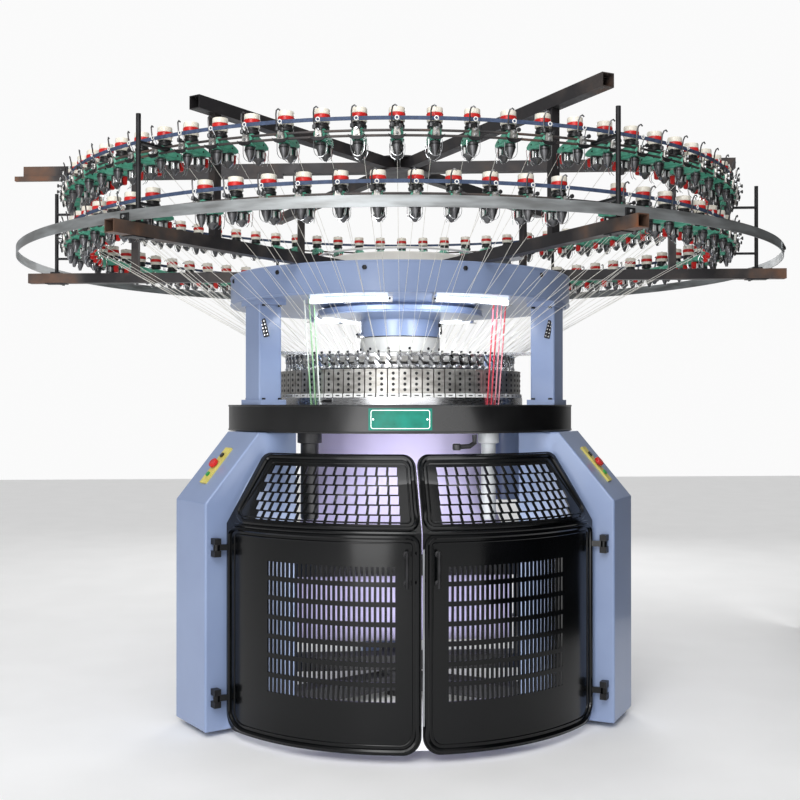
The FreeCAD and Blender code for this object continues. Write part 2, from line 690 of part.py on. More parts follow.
def outer_posts():
    """Rods on the arms, each with a foot and a bracket to both tiers' rods."""
    foot = block((OUTER_POST_RADIUS - POST_FOOT / 2, OUTER_POST_RADIUS + POST_FOOT / 2),
                 (-POST_FOOT / 2, POST_FOOT / 2), (ARM_TOP, ARM_TOP + POST_FOOT_THICK))
    post = upright(OUTER_POST_ROD, OUTER_POST_RADIUS, 0, ARM_TOP, OUTER_POST_TOP)
    brackets = []
    for tier in (UPPER_TIER, LOWER_TIER):
        low, high = rod_levels(tier)
        brackets.append(block((FEEDER_RING - FEEDER_ROD, OUTER_POST_RADIUS), (-10, 10),
                              (low + FEEDER_ROD, high - FEEDER_ROD)))
    return [turned(fused(foot, post, *brackets), azimuth) for azimuth in ARM_AZIMUTHS]


def strip_ring():
    """Flat band standing on the arms, with a bolted splice on its outer face."""
    band = ring(STRIP_RADIUS - STRIP_THICK, STRIP_RADIUS, ARM_TOP, ARM_TOP + STRIP_HEIGHT)
    low = ARM_TOP + SPLICE_EDGE
    high = ARM_TOP + STRIP_HEIGHT - SPLICE_EDGE
    splice = sector([(STRIP_RADIUS, low), (STRIP_RADIUS + STRIP_THICK, low),
                     (STRIP_RADIUS + STRIP_THICK, high), (STRIP_RADIUS, high)], SPLICE_AZIMUTH, SPLICE_ARC)
    return fused(band, splice)


# ---- Yarn feeders ----

def apart(first, second):
    """Smallest turn between two azimuths, in degrees."""
    return abs((first - second + 180) % 360 - 180)


def feeder_azimuths(shift):
    spots = [PITCH * i + shift for i in range(FEEDER_COUNT)]
    return [a for a in spots if min(apart(a, arm) for arm in ARM_AZIMUTHS) > POST_CLEAR - 0.5]


def feeder_rods():
    return [Part.makeTorus(FEEDER_RING, FEEDER_ROD, V(0, 0, level))
            for tier in (UPPER_TIER, LOWER_TIER) for level in rod_levels(tier)]


def feeder(tier, azimuth):
    """Feeder housing: a clamp on the rods, a wedge body inwards and a yarn drum below."""
    low, high = rod_levels(tier)
    half = FEEDER_WIDTH / 2
    bottom = low - FEEDER_BODY / 2
    top = bottom + FEEDER_BODY + ROD_GAP
    front = FEEDER_RING - FEEDER_ROD
    wedge = side_prism([(FEEDER_INNER, bottom), (front, bottom), (front, top),
                        (FEEDER_AXIS - 34, top), (FEEDER_INNER, top - 18)], FEEDER_WIDTH)
    clamp = block((front, FEEDER_RING + 10), (-half, half), (bottom, top))
    grooves = [upright(FEEDER_ROD + ROD_FIT, 0, 0, -half - 1, half + 1) for level in (low, high)]
    for groove, level in zip(grooves, (low, high)):
        groove.rotate(ORIGIN, V(1, 0, 0), 90)
        groove.translate(V(FEEDER_RING, 0, level))
    drum = upright(FEEDER_DRUM, FEEDER_AXIS - 40, 0, bottom - DRUM_LENGTH, bottom)
    pin = upright(WHEEL_PIN, FEEDER_AXIS, 0, top, top + WHEEL_HEIGHT + 4)
    body = fused(wedge, clamp, drum, pin).cut(grooves)
    return turned(body, azimuth)


def wheel_level(tier):
    """Underside of a tier's wheels."""
    low = rod_levels(tier)[0]
    return low - FEEDER_BODY / 2 + FEEDER_BODY + ROD_GAP + AIR


def feeder_wheels():
    wheels = []
    for tier, shift in ((UPPER_TIER, 0), (LOWER_TIER, LOWER_TIER_SHIFT)):
        low = wheel_level(tier)
        wheel = upright(WHEEL_RADIUS, FEEDER_AXIS, 0, low, low + WHEEL_HEIGHT)
        wheel = wheel.cut(upright(WHEEL_PIN + RUN, FEEDER_AXIS, 0, low - 1, low + WHEEL_HEIGHT + 1))
        wheels += [turned(wheel, azimuth) for azimuth in feeder_azimuths(shift)]
    return wheels


def belt(tier):
    """Toothed belt that runs round the outer side of a tier's wheels."""
    inner = FEEDER_AXIS + WHEEL_RADIUS + AIR / 2
    low = wheel_level(tier) + BELT_RISE
    return ring(inner, inner + BELT_THICK, low, low + BELT_WIDTH)


def pulley_stand():
    """Cone on the head that carries the speed pulley."""
    height = PULLEY_BOTTOM - AIR - HEAD_TOP
    base = Part.makeCone(STAND_RADIUS, STAND_RADIUS * 0.6, height, V(PULLEY_AT, 0, HEAD_TOP))
    spindle = upright(PULLEY_SPINDLE, PULLEY_AT, 0, HEAD_TOP + 10, PULLEY_BOTTOM + PULLEY_THICK + 8)
    return turned(fused(base, spindle), PULLEY_AZIMUTH)


def speed_pulley():
    """Adjustable pulley: a disc with a hub and a shallow groove round its rim."""
    top = PULLEY_BOTTOM + PULLEY_THICK
    groove = 4.0
    outline = [(PULLEY_SPINDLE + RUN, PULLEY_BOTTOM), (PULLEY_RADIUS, PULLEY_BOTTOM),
               (PULLEY_RADIUS, PULLEY_BOTTOM + 6), (PULLEY_RADIUS - groove, PULLEY_BOTTOM + 8),
               (PULLEY_RADIUS - groove, top - 8), (PULLEY_RADIUS, top - 6), (PULLEY_RADIUS, top),
               (PULLEY_SPINDLE + RUN, top)]
    disc = revolved(outline)
    disc.translate(V(PULLEY_AT, 0, 0))
    return turned(disc, PULLEY_AZIMUTH)


def yarns():
    """Taut yarns from the feeders to the yarn guides, left out beside the columns."""
    strands = []
    for tier, shift, ahead in ((UPPER_TIER, 0, 0.3), (LOWER_TIER, LOWER_TIER_SHIFT, -0.3)):
        start_z = rod_levels(tier)[0]
        for azimuth in feeder_azimuths(shift):
            guide = round((azimuth - shift) / PITCH) * PITCH + ahead
            if min(apart(azimuth, post) for post in LEG_AZIMUTHS) < COLUMN_CLEAR:
                continue
            end = polar(GUIDE_RING + GUIDE_PLATE + AIR, guide, GUIDE_HIGH - 5)
            strands.append(rod(YARN_RADIUS, polar(FEEDER_INNER - AIR, azimuth, start_z), end))
    return strands


# ---- Take-down ----

def takedown_frame():
    """Turning frame: a spindle in the base, a crossbeam and two side plates for the rollers."""
    beam_low = BEARING_TOP + AIR
    half = FRAME_HALF
    beam = block((-half, half), (-CROSSBEAM_HALF, CROSSBEAM_HALF), (beam_low, beam_low + CROSSBEAM_HEIGHT))
    spindle = upright(SPINDLE_RADIUS, 0, 0, SPINDLE_LOW, beam_low + 1)
    plates = []
    for low, high in ((-half, FRAME_PLATE - half), (half - FRAME_PLATE, half)):
        plates.append(block((low, high), (-FRAME_FRONT, FRAME_BACK), (beam_low, FRAME_TOP)))
    ties = [rod(10, V(1 - half, y, FRAME_TOP - 25), V(half - 1, y, FRAME_TOP - 25))
            for y in (15 - FRAME_FRONT, FRAME_BACK - 15)]
    frame = fused(beam, spindle, *plates, *ties)
    bores = []
    for radius, y, z in ((NIP_AXLE, -nip_offset(), NIP_HEIGHT), (NIP_AXLE, nip_offset(), NIP_HEIGHT),
                         (ROLL_AXLE, roll_offset(), ROLL_HEIGHT)):
        bores.append(rod(radius + RUN, V(-half - 1, y, z), V(half + 1, y, z)))
    return frame.cut(bores)


def nip_offset():
    """Distance of each nip roller's axis from the fabric's plane."""
    return NIP_RADIUS + CLOTH / 2 + AIR


def roll_offset():
    """Distance of the cloth roll's axis from the fabric's plane."""
    return ROLL_RADIUS + CLOTH / 2 + AIR


def roller(radius, axle, y, z):
    """Roller along X between the side plates, with its axle through both."""
    inside = FRAME_HALF - FRAME_PLATE - 2
    body = rod(radius, V(-inside, y, z), V(inside, y, z))
    shaft = rod(axle, V(-FRAME_HALF, y, z), V(FRAME_HALF, y, z))
    return fused(body, shaft)


def oval(half_x, half_y, z):
    curve = Part.Ellipse(V(0, 0, z), half_x, half_y)
    return Part.Wire([curve.toShape()])


def fabric_tube():
    """Knitted tube: round inside the cylinder, drawn flat into the nip, then a flat web to the roll."""
    web_top = FRAME_TOP - 5
    rim = CYLINDER_BORE - AIR
    levels = [(CYLINDER_TOP - 6, rim, rim), (BED_TOP + 60, TUBE_RADIUS + 12, TUBE_RADIUS + 12),
              (BED_BOTTOM, TUBE_RADIUS, TUBE_RADIUS), (900, TUBE_RADIUS + 8, TUBE_RADIUS - 15),
              (760, TUBE_RADIUS + 55, TUBE_RADIUS - 110), (web_top, WEB_HALF, 12)]
    outer = Part.makeLoft([oval(a, b, z) for z, a, b in levels], True, False)
    inner = Part.makeLoft([oval(a - CLOTH, b - CLOTH, z + offset) for (z, a, b), offset
                           in zip(levels, (1, 0, 0, 0, 0, -1))], True, False)
    web = block((2 - WEB_HALF, WEB_HALF - 2), (-CLOTH / 2, CLOTH / 2), (ROLL_HEIGHT, web_top + 2))
    tube = outer.cut(inner)
    floor = outer.common(block((-WEB_HALF, WEB_HALF), (-50, 50), (web_top, web_top + CLOTH)))
    return fused(tube, floor, web)


# ---- Doors ----

def door_point(radius, azimuth, z=0.0):
    """Point on the doors' arc, whose centre lies behind the machine's axis."""
    return polar(radius, azimuth, z) + V(0, DOOR_CENTRE_Y, 0)


def door_edge():
    """X of the doors' outer edge, beside the leg."""
    side = LEG_WIDTH / 2 + SIDE_AIR
    leg_turn = math.radians(LEG_AZIMUTHS[1])
    along = HINGE_RADIUS - 50
    return along * math.sin(leg_turn) - side * math.cos(leg_turn)


def arc_band(start, end, z):
    """Flat band of the door wall's thickness along its arc, between two azimuths."""
    middle = (start + end) / 2
    outer = Part.Arc(*[door_point(DOOR_ARC, a, z) for a in (start, middle, end)]).toShape()
    inner = Part.Arc(*[door_point(DOOR_ARC - DOOR_WALL, a, z) for a in (end, middle, start)]).toShape()
    sides = [Part.makeLine(door_point(DOOR_ARC, end, z), door_point(DOOR_ARC - DOOR_WALL, end, z)),
             Part.makeLine(door_point(DOOR_ARC - DOOR_WALL, start, z), door_point(DOOR_ARC, start, z))]
    return Part.Face(Part.Wire([outer, sides[0], inner, sides[1]]))


def lean(z):
    """How far back the door's upper part lies at a height."""
    return DOOR_LEAN * max(0.0, z - DOOR_CREASE) / (DOOR_TOP - DOOR_CREASE)


def edge_x(z):
    """Outer edge of the door at a height."""
    share = max(0.0, z - DOOR_CREASE) / (DOOR_TOP - DOOR_CREASE)
    return door_edge() + (UPPER_EDGE_X - door_edge()) * share


def corner_edges(shape, corners):
    """Edges through the wall at the given points."""
    near = []
    for edge in shape.Edges:
        if edge.Length < DOOR_WALL * 1.6:
            middle = edge.valueAt((edge.FirstParameter + edge.LastParameter) / 2)
            if any((middle - corner).Length < DOOR_WALL * 1.6 for corner in corners):
                near.append(edge)
    return near


def corner_cutter(corner, first, second):
    """Prism along Y that rounds an upper corner between two edge directions of the front view."""
    first.normalize()
    second.normalize()
    half = first.getAngle(second) / 2
    reach = TOP_CORNER / math.tan(half)
    centre = corner + (first + second).normalize() * (TOP_CORNER / math.sin(half))
    ends = [corner + first * reach, corner + second * reach]
    outline = [centre, ends[0] * 1.2 - centre * 0.2, corner * 1.4 - centre * 0.4, ends[1] * 1.2 - centre * 0.2]
    outline = [V(point.x, -2 * BED_RADIUS, point.z) for point in outline]
    wedge = filled(outline).extrude(V(0, 2 * BED_RADIUS, 0))
    disc = Part.makeCylinder(TOP_CORNER, 2 * BED_RADIUS, V(centre.x, -2 * BED_RADIUS, centre.z), V(0, 1, 0))
    return wedge.cut(disc)


def right_door_panel():
    """Curved door, upright below its crease and leaning in above it, with grilles in both parts."""
    seam = math.degrees(math.asin(DOOR_GAP / DOOR_ARC))
    outer = math.degrees(math.asin(door_edge() / DOOR_ARC))
    lower = arc_band(seam, outer, DOOR_BOTTOM).extrude(V(0, 0, DOOR_CREASE - DOOR_BOTTOM))
    upper = arc_band(seam, outer, DOOR_CREASE).extrude(V(0, DOOR_LEAN, DOOR_TOP - DOOR_CREASE))
    trim = filled([V(door_edge(), -2 * BED_RADIUS, DOOR_CREASE), V(UPPER_EDGE_X, -2 * BED_RADIUS, DOOR_TOP),
                   V(UPPER_EDGE_X, -2 * BED_RADIUS, DOOR_TOP + 10),
                   V(door_edge() + 50, -2 * BED_RADIUS, DOOR_TOP + 10),
                   V(door_edge() + 50, -2 * BED_RADIUS, DOOR_CREASE)])
    side = LEG_WIDTH / 2 + SIDE_AIR
    beside = turned(block((0, 2 * LEG_OUTER), (-side, side), (0, BED_BOTTOM)), LEG_AZIMUTHS[1])
    upper = upper.cut([trim.extrude(V(0, 3 * BED_RADIUS, 0)), beside])
    middle = DOOR_ARC - DOOR_WALL / 2
    slant = V(door_edge() - UPPER_EDGE_X, 0, DOOR_CREASE - DOOR_TOP)
    upper = upper.cut([corner_cutter(V(DOOR_GAP, 0, DOOR_TOP), V(1, 0, 0), V(0, 0, -1)),
                       corner_cutter(V(UPPER_EDGE_X, 0, DOOR_TOP), V(-1, 0, 0), slant)])
    bottom = [door_point(middle, a, DOOR_BOTTOM) for a in (seam, outer)]
    lower = lower.makeFillet(DOOR_CORNER, corner_edges(lower, bottom))
    slots = []
    for row in range(SLOT_ROWS):
        z = SLOT_FIRST_Z + SLOT_PITCH * row
        for column_index in range(SLOT_COLUMNS):
            azimuth = SLOT_FIRST_ARC + SLOT_ARC * column_index
            slot = block((middle - DOOR_WALL, middle + DOOR_WALL), (-SLOT_WIDTH / 2, SLOT_WIDTH / 2),
                         (z - SLOT_HEIGHT / 2, z + SLOT_HEIGHT / 2))
            slots.append(turned(slot, azimuth).translate(V(0, DOOR_CENTRE_Y, 0)))
    holes = []
    for row in range(HOLE_ROWS):
        z = HOLE_FIRST_Z + HOLE_PITCH_Z * row
        for column_index in range(HOLE_COLUMNS):
            azimuth = HOLE_FIRST_ARC + HOLE_ARC * column_index
            if DOOR_ARC * math.sin(math.radians(azimuth)) > edge_x(z) - HOLE_MARGIN:
                continue
            centre = door_point(middle, azimuth, z) + V(0, lean(z), 0)
            hole = block((-30, 30), (-HOLE_SIZE / 2, HOLE_SIZE / 2), (-HOLE_HEIGHT / 2, HOLE_HEIGHT / 2))
            holes.append(turned(hole, azimuth).translate(centre))
    return fused(lower.cut(slots), upper.cut(holes))


def mirrored(shape):
    return shape.mirror(ORIGIN, V(1, 0, 0))


def hinge_axis():
    """Plan place of the right door's hinge pin, in front of the leg's side."""
    point = turned(Part.Vertex(HINGE_RADIUS, -LEG_WIDTH / 2 - HINGE_OUT, 0), LEG_AZIMUTHS[1]).Point
    return point


def hinge_spans(level):
    """Heights of a hinge: lower block, knuckle and upper block."""
    third = HINGE_HEIGHT / 3
    low = level - HINGE_HEIGHT / 2
    high = low + HINGE_HEIGHT
    return (low, low + third), (low + third + AIR, high - third - AIR), (high - third, high)


def hinge_blocks():
    """Hinge blocks on the front legs' sides, with the pin between each pair."""
    side = -LEG_WIDTH / 2
    solids = []
    for level in HINGE_LEVELS:
        spans = hinge_spans(level)
        reach = (HINGE_RADIUS - KNUCKLE, HINGE_RADIUS + KNUCKLE)
        blocks = [block(reach, (side - HINGE_OUT - KNUCKLE, side), span) for span in (spans[0], spans[2])]
        pin = upright(HINGE_PIN, HINGE_RADIUS, side - HINGE_OUT, spans[0][0] + 1, spans[2][1] - 1)
        hinge = turned(fused(pin, *blocks), LEG_AZIMUTHS[1])
        solids += [hinge, mirrored(hinge)]
    return solids


def right_door():
    """Door panel with its hinge knuckles and the straps that reach them."""
    panel = right_door_panel()
    pin = hinge_axis()
    foot = math.degrees(math.asin((door_edge() - STRAP_INSET) / DOOR_ARC))
    edge = door_point(DOOR_ARC - DOOR_WALL / 2, foot)
    pieces = []
    for level in HINGE_LEVELS:
        low, high = hinge_spans(level)[1]
        along = edge - pin
        strap = block((0, along.Length), (-STRAP_HALF, STRAP_HALF), (low, high))
        strap.rotate(ORIGIN, UP, math.degrees(math.atan2(along.y, along.x)))
        strap.translate(V(pin.x, pin.y, 0))
        pieces += [upright(KNUCKLE - 1, pin.x, pin.y, low, high), strap]
    door = fused(panel, *pieces)
    bores = []
    for level in HINGE_LEVELS:
        low, high = hinge_spans(level)[1]
        bores.append(upright(HINGE_PIN + RUN, pin.x, pin.y, low - 1, high + 1))
    return door.cut(bores)


def door_front(x, z):
    """Depth of the right door's outer face at a place."""
    return DOOR_CENTRE_Y + lean(z) - math.sqrt(DOOR_ARC ** 2 - x ** 2)


def right_handle():
    """Slim upright bow handle near the seam, its feet cut to the door's curve."""
    face = door_front(HANDLE_X, HANDLE_Z)
    out = face - HANDLE_REACH
    low = HANDLE_Z - HANDLE_LENGTH / 2
    high = HANDLE_Z + HANDLE_LENGTH / 2
    grip = rod(HANDLE_ROD, V(HANDLE_X, out, low), V(HANDLE_X, out, high))
    feet = [rod(HANDLE_FOOT, V(HANDLE_X, face + HANDLE_FOOT, z), V(HANDLE_X, out, z))
            for z in (low + 2 * HANDLE_ROD, high - 2 * HANDLE_ROD)]
    door = upright(DOOR_ARC + RUN, 0, DOOR_CENTRE_Y, low, high)
    return fused(grip, *feet).cut(door)


def seam_strip():
    """Flat strip on the right door beside the seam."""
    reach = DOOR_ARC
    start = math.degrees(DOOR_GAP / reach)
    end = start + math.degrees(SEAM_WIDTH / reach)
    strip = sector([(reach, SEAM_LOW), (reach + SEAM_THICK, SEAM_LOW),
                    (reach + SEAM_THICK, SEAM_HIGH), (reach, SEAM_HIGH)], (start + end) / 2, end - start)
    return strip.translate(V(0, DOOR_CENTRE_Y, 0))


# ---- Control plates ----

def on_shoulder(shape):
    """Piece drawn flat on the X-Y plane, laid on the right leg's sloping shoulder."""
    run = LEG_OUTER - SHOULDER_RADIUS
    copy = shape.copy()
    copy.rotate(ORIGIN, V(0, 1, 0), math.degrees(math.atan2(SHOULDER_DROP, run)))
    copy.translate(V((LEG_OUTER + SHOULDER_RADIUS) / 2, 0, (SLOPE_LOW + BED_BOTTOM) / 2))
    return turned(copy, LEG_AZIMUTHS[1])


def control_plate():
    """Small plate with bores for the stop button and two push buttons."""
    length = PANEL_LENGTH / 2
    width = PANEL_WIDTH / 2
    plate = block((-length, length), (-width, width), (0, PANEL_THICK))
    holes = ((STOP_STEM, 0), (BUTTON_RADIUS, -BUTTON_SPACING), (BUTTON_RADIUS, BUTTON_SPACING))
    bores = [upright(radius + RUN, x, 0, PANEL_BACK, PANEL_THICK + 1) for radius, x in holes]
    return on_shoulder(plate.cut(bores))


def stop_button():
    """Mushroom head on its stem."""
    under = PANEL_THICK + STOP_TRAVEL + AIR
    stem = upright(STOP_STEM, 0, 0, PANEL_BACK + STOP_TRAVEL, under + 1)
    head = upright(STOP_HEAD, 0, 0, under, under + STOP_HEIGHT)
    rim = [edge for edge in head.Edges if edge.CenterOfMass.z > under + STOP_HEIGHT / 2]
    return on_shoulder(fused(stem, head.makeFillet(STOP_ROUND, rim)))


def push_button(x):
    return on_shoulder(upright(BUTTON_RADIUS, x, 0, PANEL_BACK + BUTTON_TRAVEL, PANEL_THICK + BUTTON_PROUD))


def oil_tubes():
    """Thin tubes from the head's floor down to the cam ring's outer edge."""
    tubes = []
    for azimuth in OIL_AZIMUTHS:
        top = polar(OIL_TOP_RADIUS, azimuth, HEAD_BOTTOM)
        foot = polar(CAM_RING_OUTER + OIL_TUBE + AIR, azimuth, BED_TOP)
        tubes.append(rod(OIL_TUBE, foot, top))
    return tubes


os.makedirs("parts", exist_ok=True)

left_leg_azimuth, right_leg_azimuth, rear_leg_azimuth = LEG_AZIMUTHS
save("left_leg", leg(left_leg_azimuth))
save("right_leg", leg(right_leg_azimuth))
save("rear_leg", leg(rear_leg_azimuth))
save("foot_pads", foot_pads())
save("base_spider", base_spider())
save("bed_ring", bed_ring())
save("name_plate", name_plate())
save("cylinder_gear", cylinder_gear())
save("needle_cylinder", needle_cylinder())
save("dial", dial())
save("drive_shaft", drive_shaft())
save("drive_motor", drive_motor())
save("cam_ring", cam_ring())
save("cam_boxes", cam_boxes())
save("guide_ring", guide_ring())
save("yarn_guides", yarn_guides())
save("dial_cam_plate", dial_cam_plate())
save("lower_hub", lower_hub())
save("upper_hub", upper_hub())
save("left_column", column(left_leg_azimuth))
save("right_column", column(right_leg_azimuth))
save("rear_column", column(rear_leg_azimuth))
save("column_bolts", column_bolts())
save("head_casting", head_casting())
save("gear_cover", gear_cover())
save("lamps", lamps())
save("lower_arms", lower_arms())
save("top_arms", top_arms())
save("top_hub", top_hub())
save("inner_posts", inner_posts())
save("outer_posts", outer_posts())
save("strip_ring", strip_ring())
save("feeder_rods", feeder_rods())
save("upper_feeders", [feeder(UPPER_TIER, a) for a in feeder_azimuths(0)])
save("lower_feeders", [feeder(LOWER_TIER, a) for a in feeder_azimuths(LOWER_TIER_SHIFT)])
save("feeder_wheels", feeder_wheels())
save("feeder_belts", [belt(UPPER_TIER), belt(LOWER_TIER)])
save("pulley_stand", pulley_stand())
save("speed_pulley", speed_pulley())
save("yarns", yarns())
save("oil_tubes", oil_tubes())
save("takedown_frame", takedown_frame())
save("front_nip_roller", roller(NIP_RADIUS, NIP_AXLE, -nip_offset(), NIP_HEIGHT))
save("back_nip_roller", roller(NIP_RADIUS, NIP_AXLE, nip_offset(), NIP_HEIGHT))
save("cloth_roll", roller(ROLL_RADIUS, ROLL_AXLE, roll_offset(), ROLL_HEIGHT))
save("fabric_tube", fabric_tube())
save("hinge_blocks", hinge_blocks())
save("right_door", right_door())
save("left_door", mirrored(right_door()))
save("right_handle", right_handle())
save("left_handle", mirrored(right_handle()))
save("seam_strip", seam_strip())
for side in ("right", "left"):
    for part_name, solid in (("control_plate", control_plate()), ("stop_button", stop_button()),
                             ("start_button", push_button(BUTTON_SPACING)),
                             ("jog_button", push_button(-BUTTON_SPACING))):
        save(side + "_" + part_name, solid if side == "right" else mirrored(solid))
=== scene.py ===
"""Looks of a circular knitting machine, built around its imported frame. Metres, +Z up, doors at -Y."""
import math
import random

import bmesh
import bpy
from mathutils import Matrix, Vector


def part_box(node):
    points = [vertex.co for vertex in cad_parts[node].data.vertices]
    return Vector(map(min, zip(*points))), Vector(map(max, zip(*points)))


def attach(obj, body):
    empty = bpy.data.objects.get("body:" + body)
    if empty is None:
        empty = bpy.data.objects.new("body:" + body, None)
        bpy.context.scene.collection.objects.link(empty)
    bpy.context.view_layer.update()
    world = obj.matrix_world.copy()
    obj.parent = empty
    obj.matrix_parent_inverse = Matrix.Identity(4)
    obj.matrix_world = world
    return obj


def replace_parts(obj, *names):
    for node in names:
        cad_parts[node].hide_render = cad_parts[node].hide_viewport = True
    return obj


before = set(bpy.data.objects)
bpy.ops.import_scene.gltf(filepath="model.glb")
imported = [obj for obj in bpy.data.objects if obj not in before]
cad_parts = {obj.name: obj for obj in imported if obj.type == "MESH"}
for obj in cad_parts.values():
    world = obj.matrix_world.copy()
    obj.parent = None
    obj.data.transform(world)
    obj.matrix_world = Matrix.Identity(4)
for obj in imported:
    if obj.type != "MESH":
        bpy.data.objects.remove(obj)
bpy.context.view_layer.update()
random.seed(7)

TURN = 2 * math.pi
DEG = math.pi / 180


# ---- Camera, light and stage ----

EYE_HEIGHT = 1.23
EYE_DISTANCE = 4.756
EYE_AZIMUTH = -4.6
EYE_PITCH = 0.26
LENS = 50
ROOM_SIDES = ((0.0, 0.24), (0.3, 0.44), (0.65, 0.44), (1.0, 0.06))   # share from -X to +X, light
WORLD_SEEN = 0.96
FLOOR_HALF = 14.0
FLOOR_SUNK = 0.0005
LAMPS = (-24, 24, 156, 204)
LAMP_POWER = 1.9
LAMP_TINT = (0.92, 0.96, 1.0)
BAY_LIGHTS = (0.35, 0.65, 0.95)             # heights of the soft lights behind the doors
BAY_LIGHT_Y = -0.80
BAY_POWER = 3.2
FLAG_X = 2.3                                # dark cloth at the right, off camera
FLAG_SPAN = (-3.4, 0.0, 1.2, 2.0)           # its low and high corners, as y, z, y, z
SUN_POWER = 1.25
SUN_SPREAD = 60
SUN_TURN = (34, 0, -12)
STUDIO = (                                  # name, place, target, size, power
    ("key", (-1.6, -5.2, 4.0), (0, 0, 1.1), 2.5, 95),
    ("fill", (-1.9, -5.2, 1.0), (0, 0, 0.9), 2.5, 62),
    ("back", (1.0, 4.8, 3.2), (0, 0, 1.4), 3.0, 70),
)


def polar(radius, azimuth, z=0.0):
    """Point at a radius, an azimuth in degrees (0 at -Y, growing to +X) and a height."""
    return Vector((radius * math.sin(azimuth * DEG), -radius * math.cos(azimuth * DEG), z))


def heights(name):
    """Lowest and highest level of a node of the frame."""
    low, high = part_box(name)
    return low[2], high[2]


def add_camera():
    data = bpy.data.cameras.new("camera")
    data.lens = LENS
    data.sensor_width = 36
    data.clip_end = 100
    camera = bpy.data.objects.new("camera", data)
    bpy.context.scene.collection.objects.link(camera)
    camera.location = polar(EYE_DISTANCE, EYE_AZIMUTH, EYE_HEIGHT)
    camera.rotation_euler = ((90 + EYE_PITCH) * DEG, 0, EYE_AZIMUTH * DEG)
    bpy.context.scene.camera = camera


def area_light(name, place, target, size, power, colour=(1, 1, 1)):
    data = bpy.data.lights.new(name, "AREA")
    data.shape = "DISK"
    data.size = size
    data.energy = power
    data.color = colour
    light = bpy.data.objects.new(name, data)
    bpy.context.scene.collection.objects.link(light)
    light.location = place
    light.rotation_euler = (Vector(target) - Vector(place)).to_track_quat("-Z", "Y").to_euler()
    light.visible_camera = False


def stage_sheet(name, corners, finish):
    """Flat four-cornered sheet of the set, which isn't part of the machine."""
    mesh = bpy.data.meshes.new(name)
    mesh.from_pydata(corners, [], [(0, 1, 2, 3)])
    sheet = bpy.data.objects.new(name, mesh)
    bpy.context.scene.collection.objects.link(sheet)
    mesh.materials.append(finish)
    return sheet


def add_world():
    """White surroundings to the camera, and a soft light that is dimmer towards +X."""
    world = bpy.data.worlds.new("studio")
    bpy.context.scene.world = world
    world.use_nodes = True
    tree = world.node_tree
    background = tree.nodes["Background"]
    path = tree.nodes.new("ShaderNodeLightPath")
    seen = tree.nodes.new("ShaderNodeMapRange")
    seen.inputs["To Max"].default_value = WORLD_SEEN
    tree.links.new(path.outputs["Is Camera Ray"], seen.inputs["Value"])
    facing = tree.nodes.new("ShaderNodeTexCoord")
    apart = tree.nodes.new("ShaderNodeSeparateXYZ")
    tree.links.new(facing.outputs["Generated"], apart.inputs["Vector"])
    side = tree.nodes.new("ShaderNodeMapRange")
    side.inputs["From Min"].default_value = -1
    side.inputs["From Max"].default_value = 1
    tree.links.new(apart.outputs["X"], side.inputs["Value"])
    room = ramp(tree, side.outputs["Result"], [(share, (level,) * 3) for share, level in ROOM_SIDES])
    tree.links.new(room, seen.inputs["To Min"])
    background.inputs["Color"].default_value = (1.0, 1.0, 1.0, 1)
    tree.links.new(seen.outputs["Result"], background.inputs["Strength"])


def add_stage():
    """Pale floor, a dark cloth off camera at the right, and soft lights."""
    half = FLOOR_HALF
    corners = [(x, y, 0) for x, y in oblong(-half, -half, half, half)]
    finish = speckled("floor_finish", (0.94, 0.94, 0.94), (0.92, 0.92, 0.92), 0.7, scale=3)
    stage_sheet("floor", corners, finish).location.z = -FLOOR_SUNK
    finish = speckled("flag_cloth", (0.02, 0.02, 0.02), (0.01, 0.01, 0.01), 0.9, shine=0.0)
    stage_sheet("flag", [(FLAG_X, y, z) for y, z in oblong(*FLAG_SPAN)], finish).visible_camera = False
    for name, place, target, size, power in STUDIO:
        area_light(name, place, target, size, power)
    for height in BAY_LIGHTS:
        area_light(f"bay_{height}", (0, BAY_LIGHT_Y, height), (0, 0, height), 0.8, BAY_POWER)
    for azimuth in LAMPS:
        area_light(f"lamp_glow_{azimuth}", polar(0.56, azimuth, 1.600), polar(0.30, azimuth, 1.25), 0.22,
                   LAMP_POWER, LAMP_TINT)
    data = bpy.data.lights.new("daylight", "SUN")
    data.energy = SUN_POWER
    data.angle = SUN_SPREAD * DEG
    sun = bpy.data.objects.new("daylight", data)
    bpy.context.scene.collection.objects.link(sun)
    sun.rotation_euler = [angle * DEG for angle in SUN_TURN]
    bpy.context.scene.view_settings.view_transform = "Standard"


# ---- Materials ----

def srgb(red, green, blue):
    """Linear colour from 0-255 screen values."""
    out = []
    for value in (red, green, blue):
        share = value / 255
        out.append(share / 12.92 if share <= 0.04045 else ((share + 0.055) / 1.055) ** 2.4)
    return tuple(out)


def shader(name):
    """New material with its node tree, its surface shader and its object coordinates."""
    material = bpy.data.materials.new(name)
    material.use_nodes = True
    tree = material.node_tree
    surface = tree.nodes["Principled BSDF"]
    place = tree.nodes.new("ShaderNodeTexCoord")
    return material, tree, surface, place.outputs["Object"]


def noise(tree, place, scale, detail=3.0, stretch=None):
    """Noise factor at a scale, stretched along an axis for brushed and drawn surfaces."""
    if stretch:
        mapping = tree.nodes.new("ShaderNodeMapping")
        mapping.inputs["Scale"].default_value = stretch
        tree.links.new(place, mapping.inputs["Vector"])
        place = mapping.outputs["Vector"]
    node = tree.nodes.new("ShaderNodeTexNoise")
    node.inputs["Scale"].default_value = scale
    node.inputs["Detail"].default_value = detail
    tree.links.new(place, node.inputs["Vector"])
    return node.outputs["Fac"]


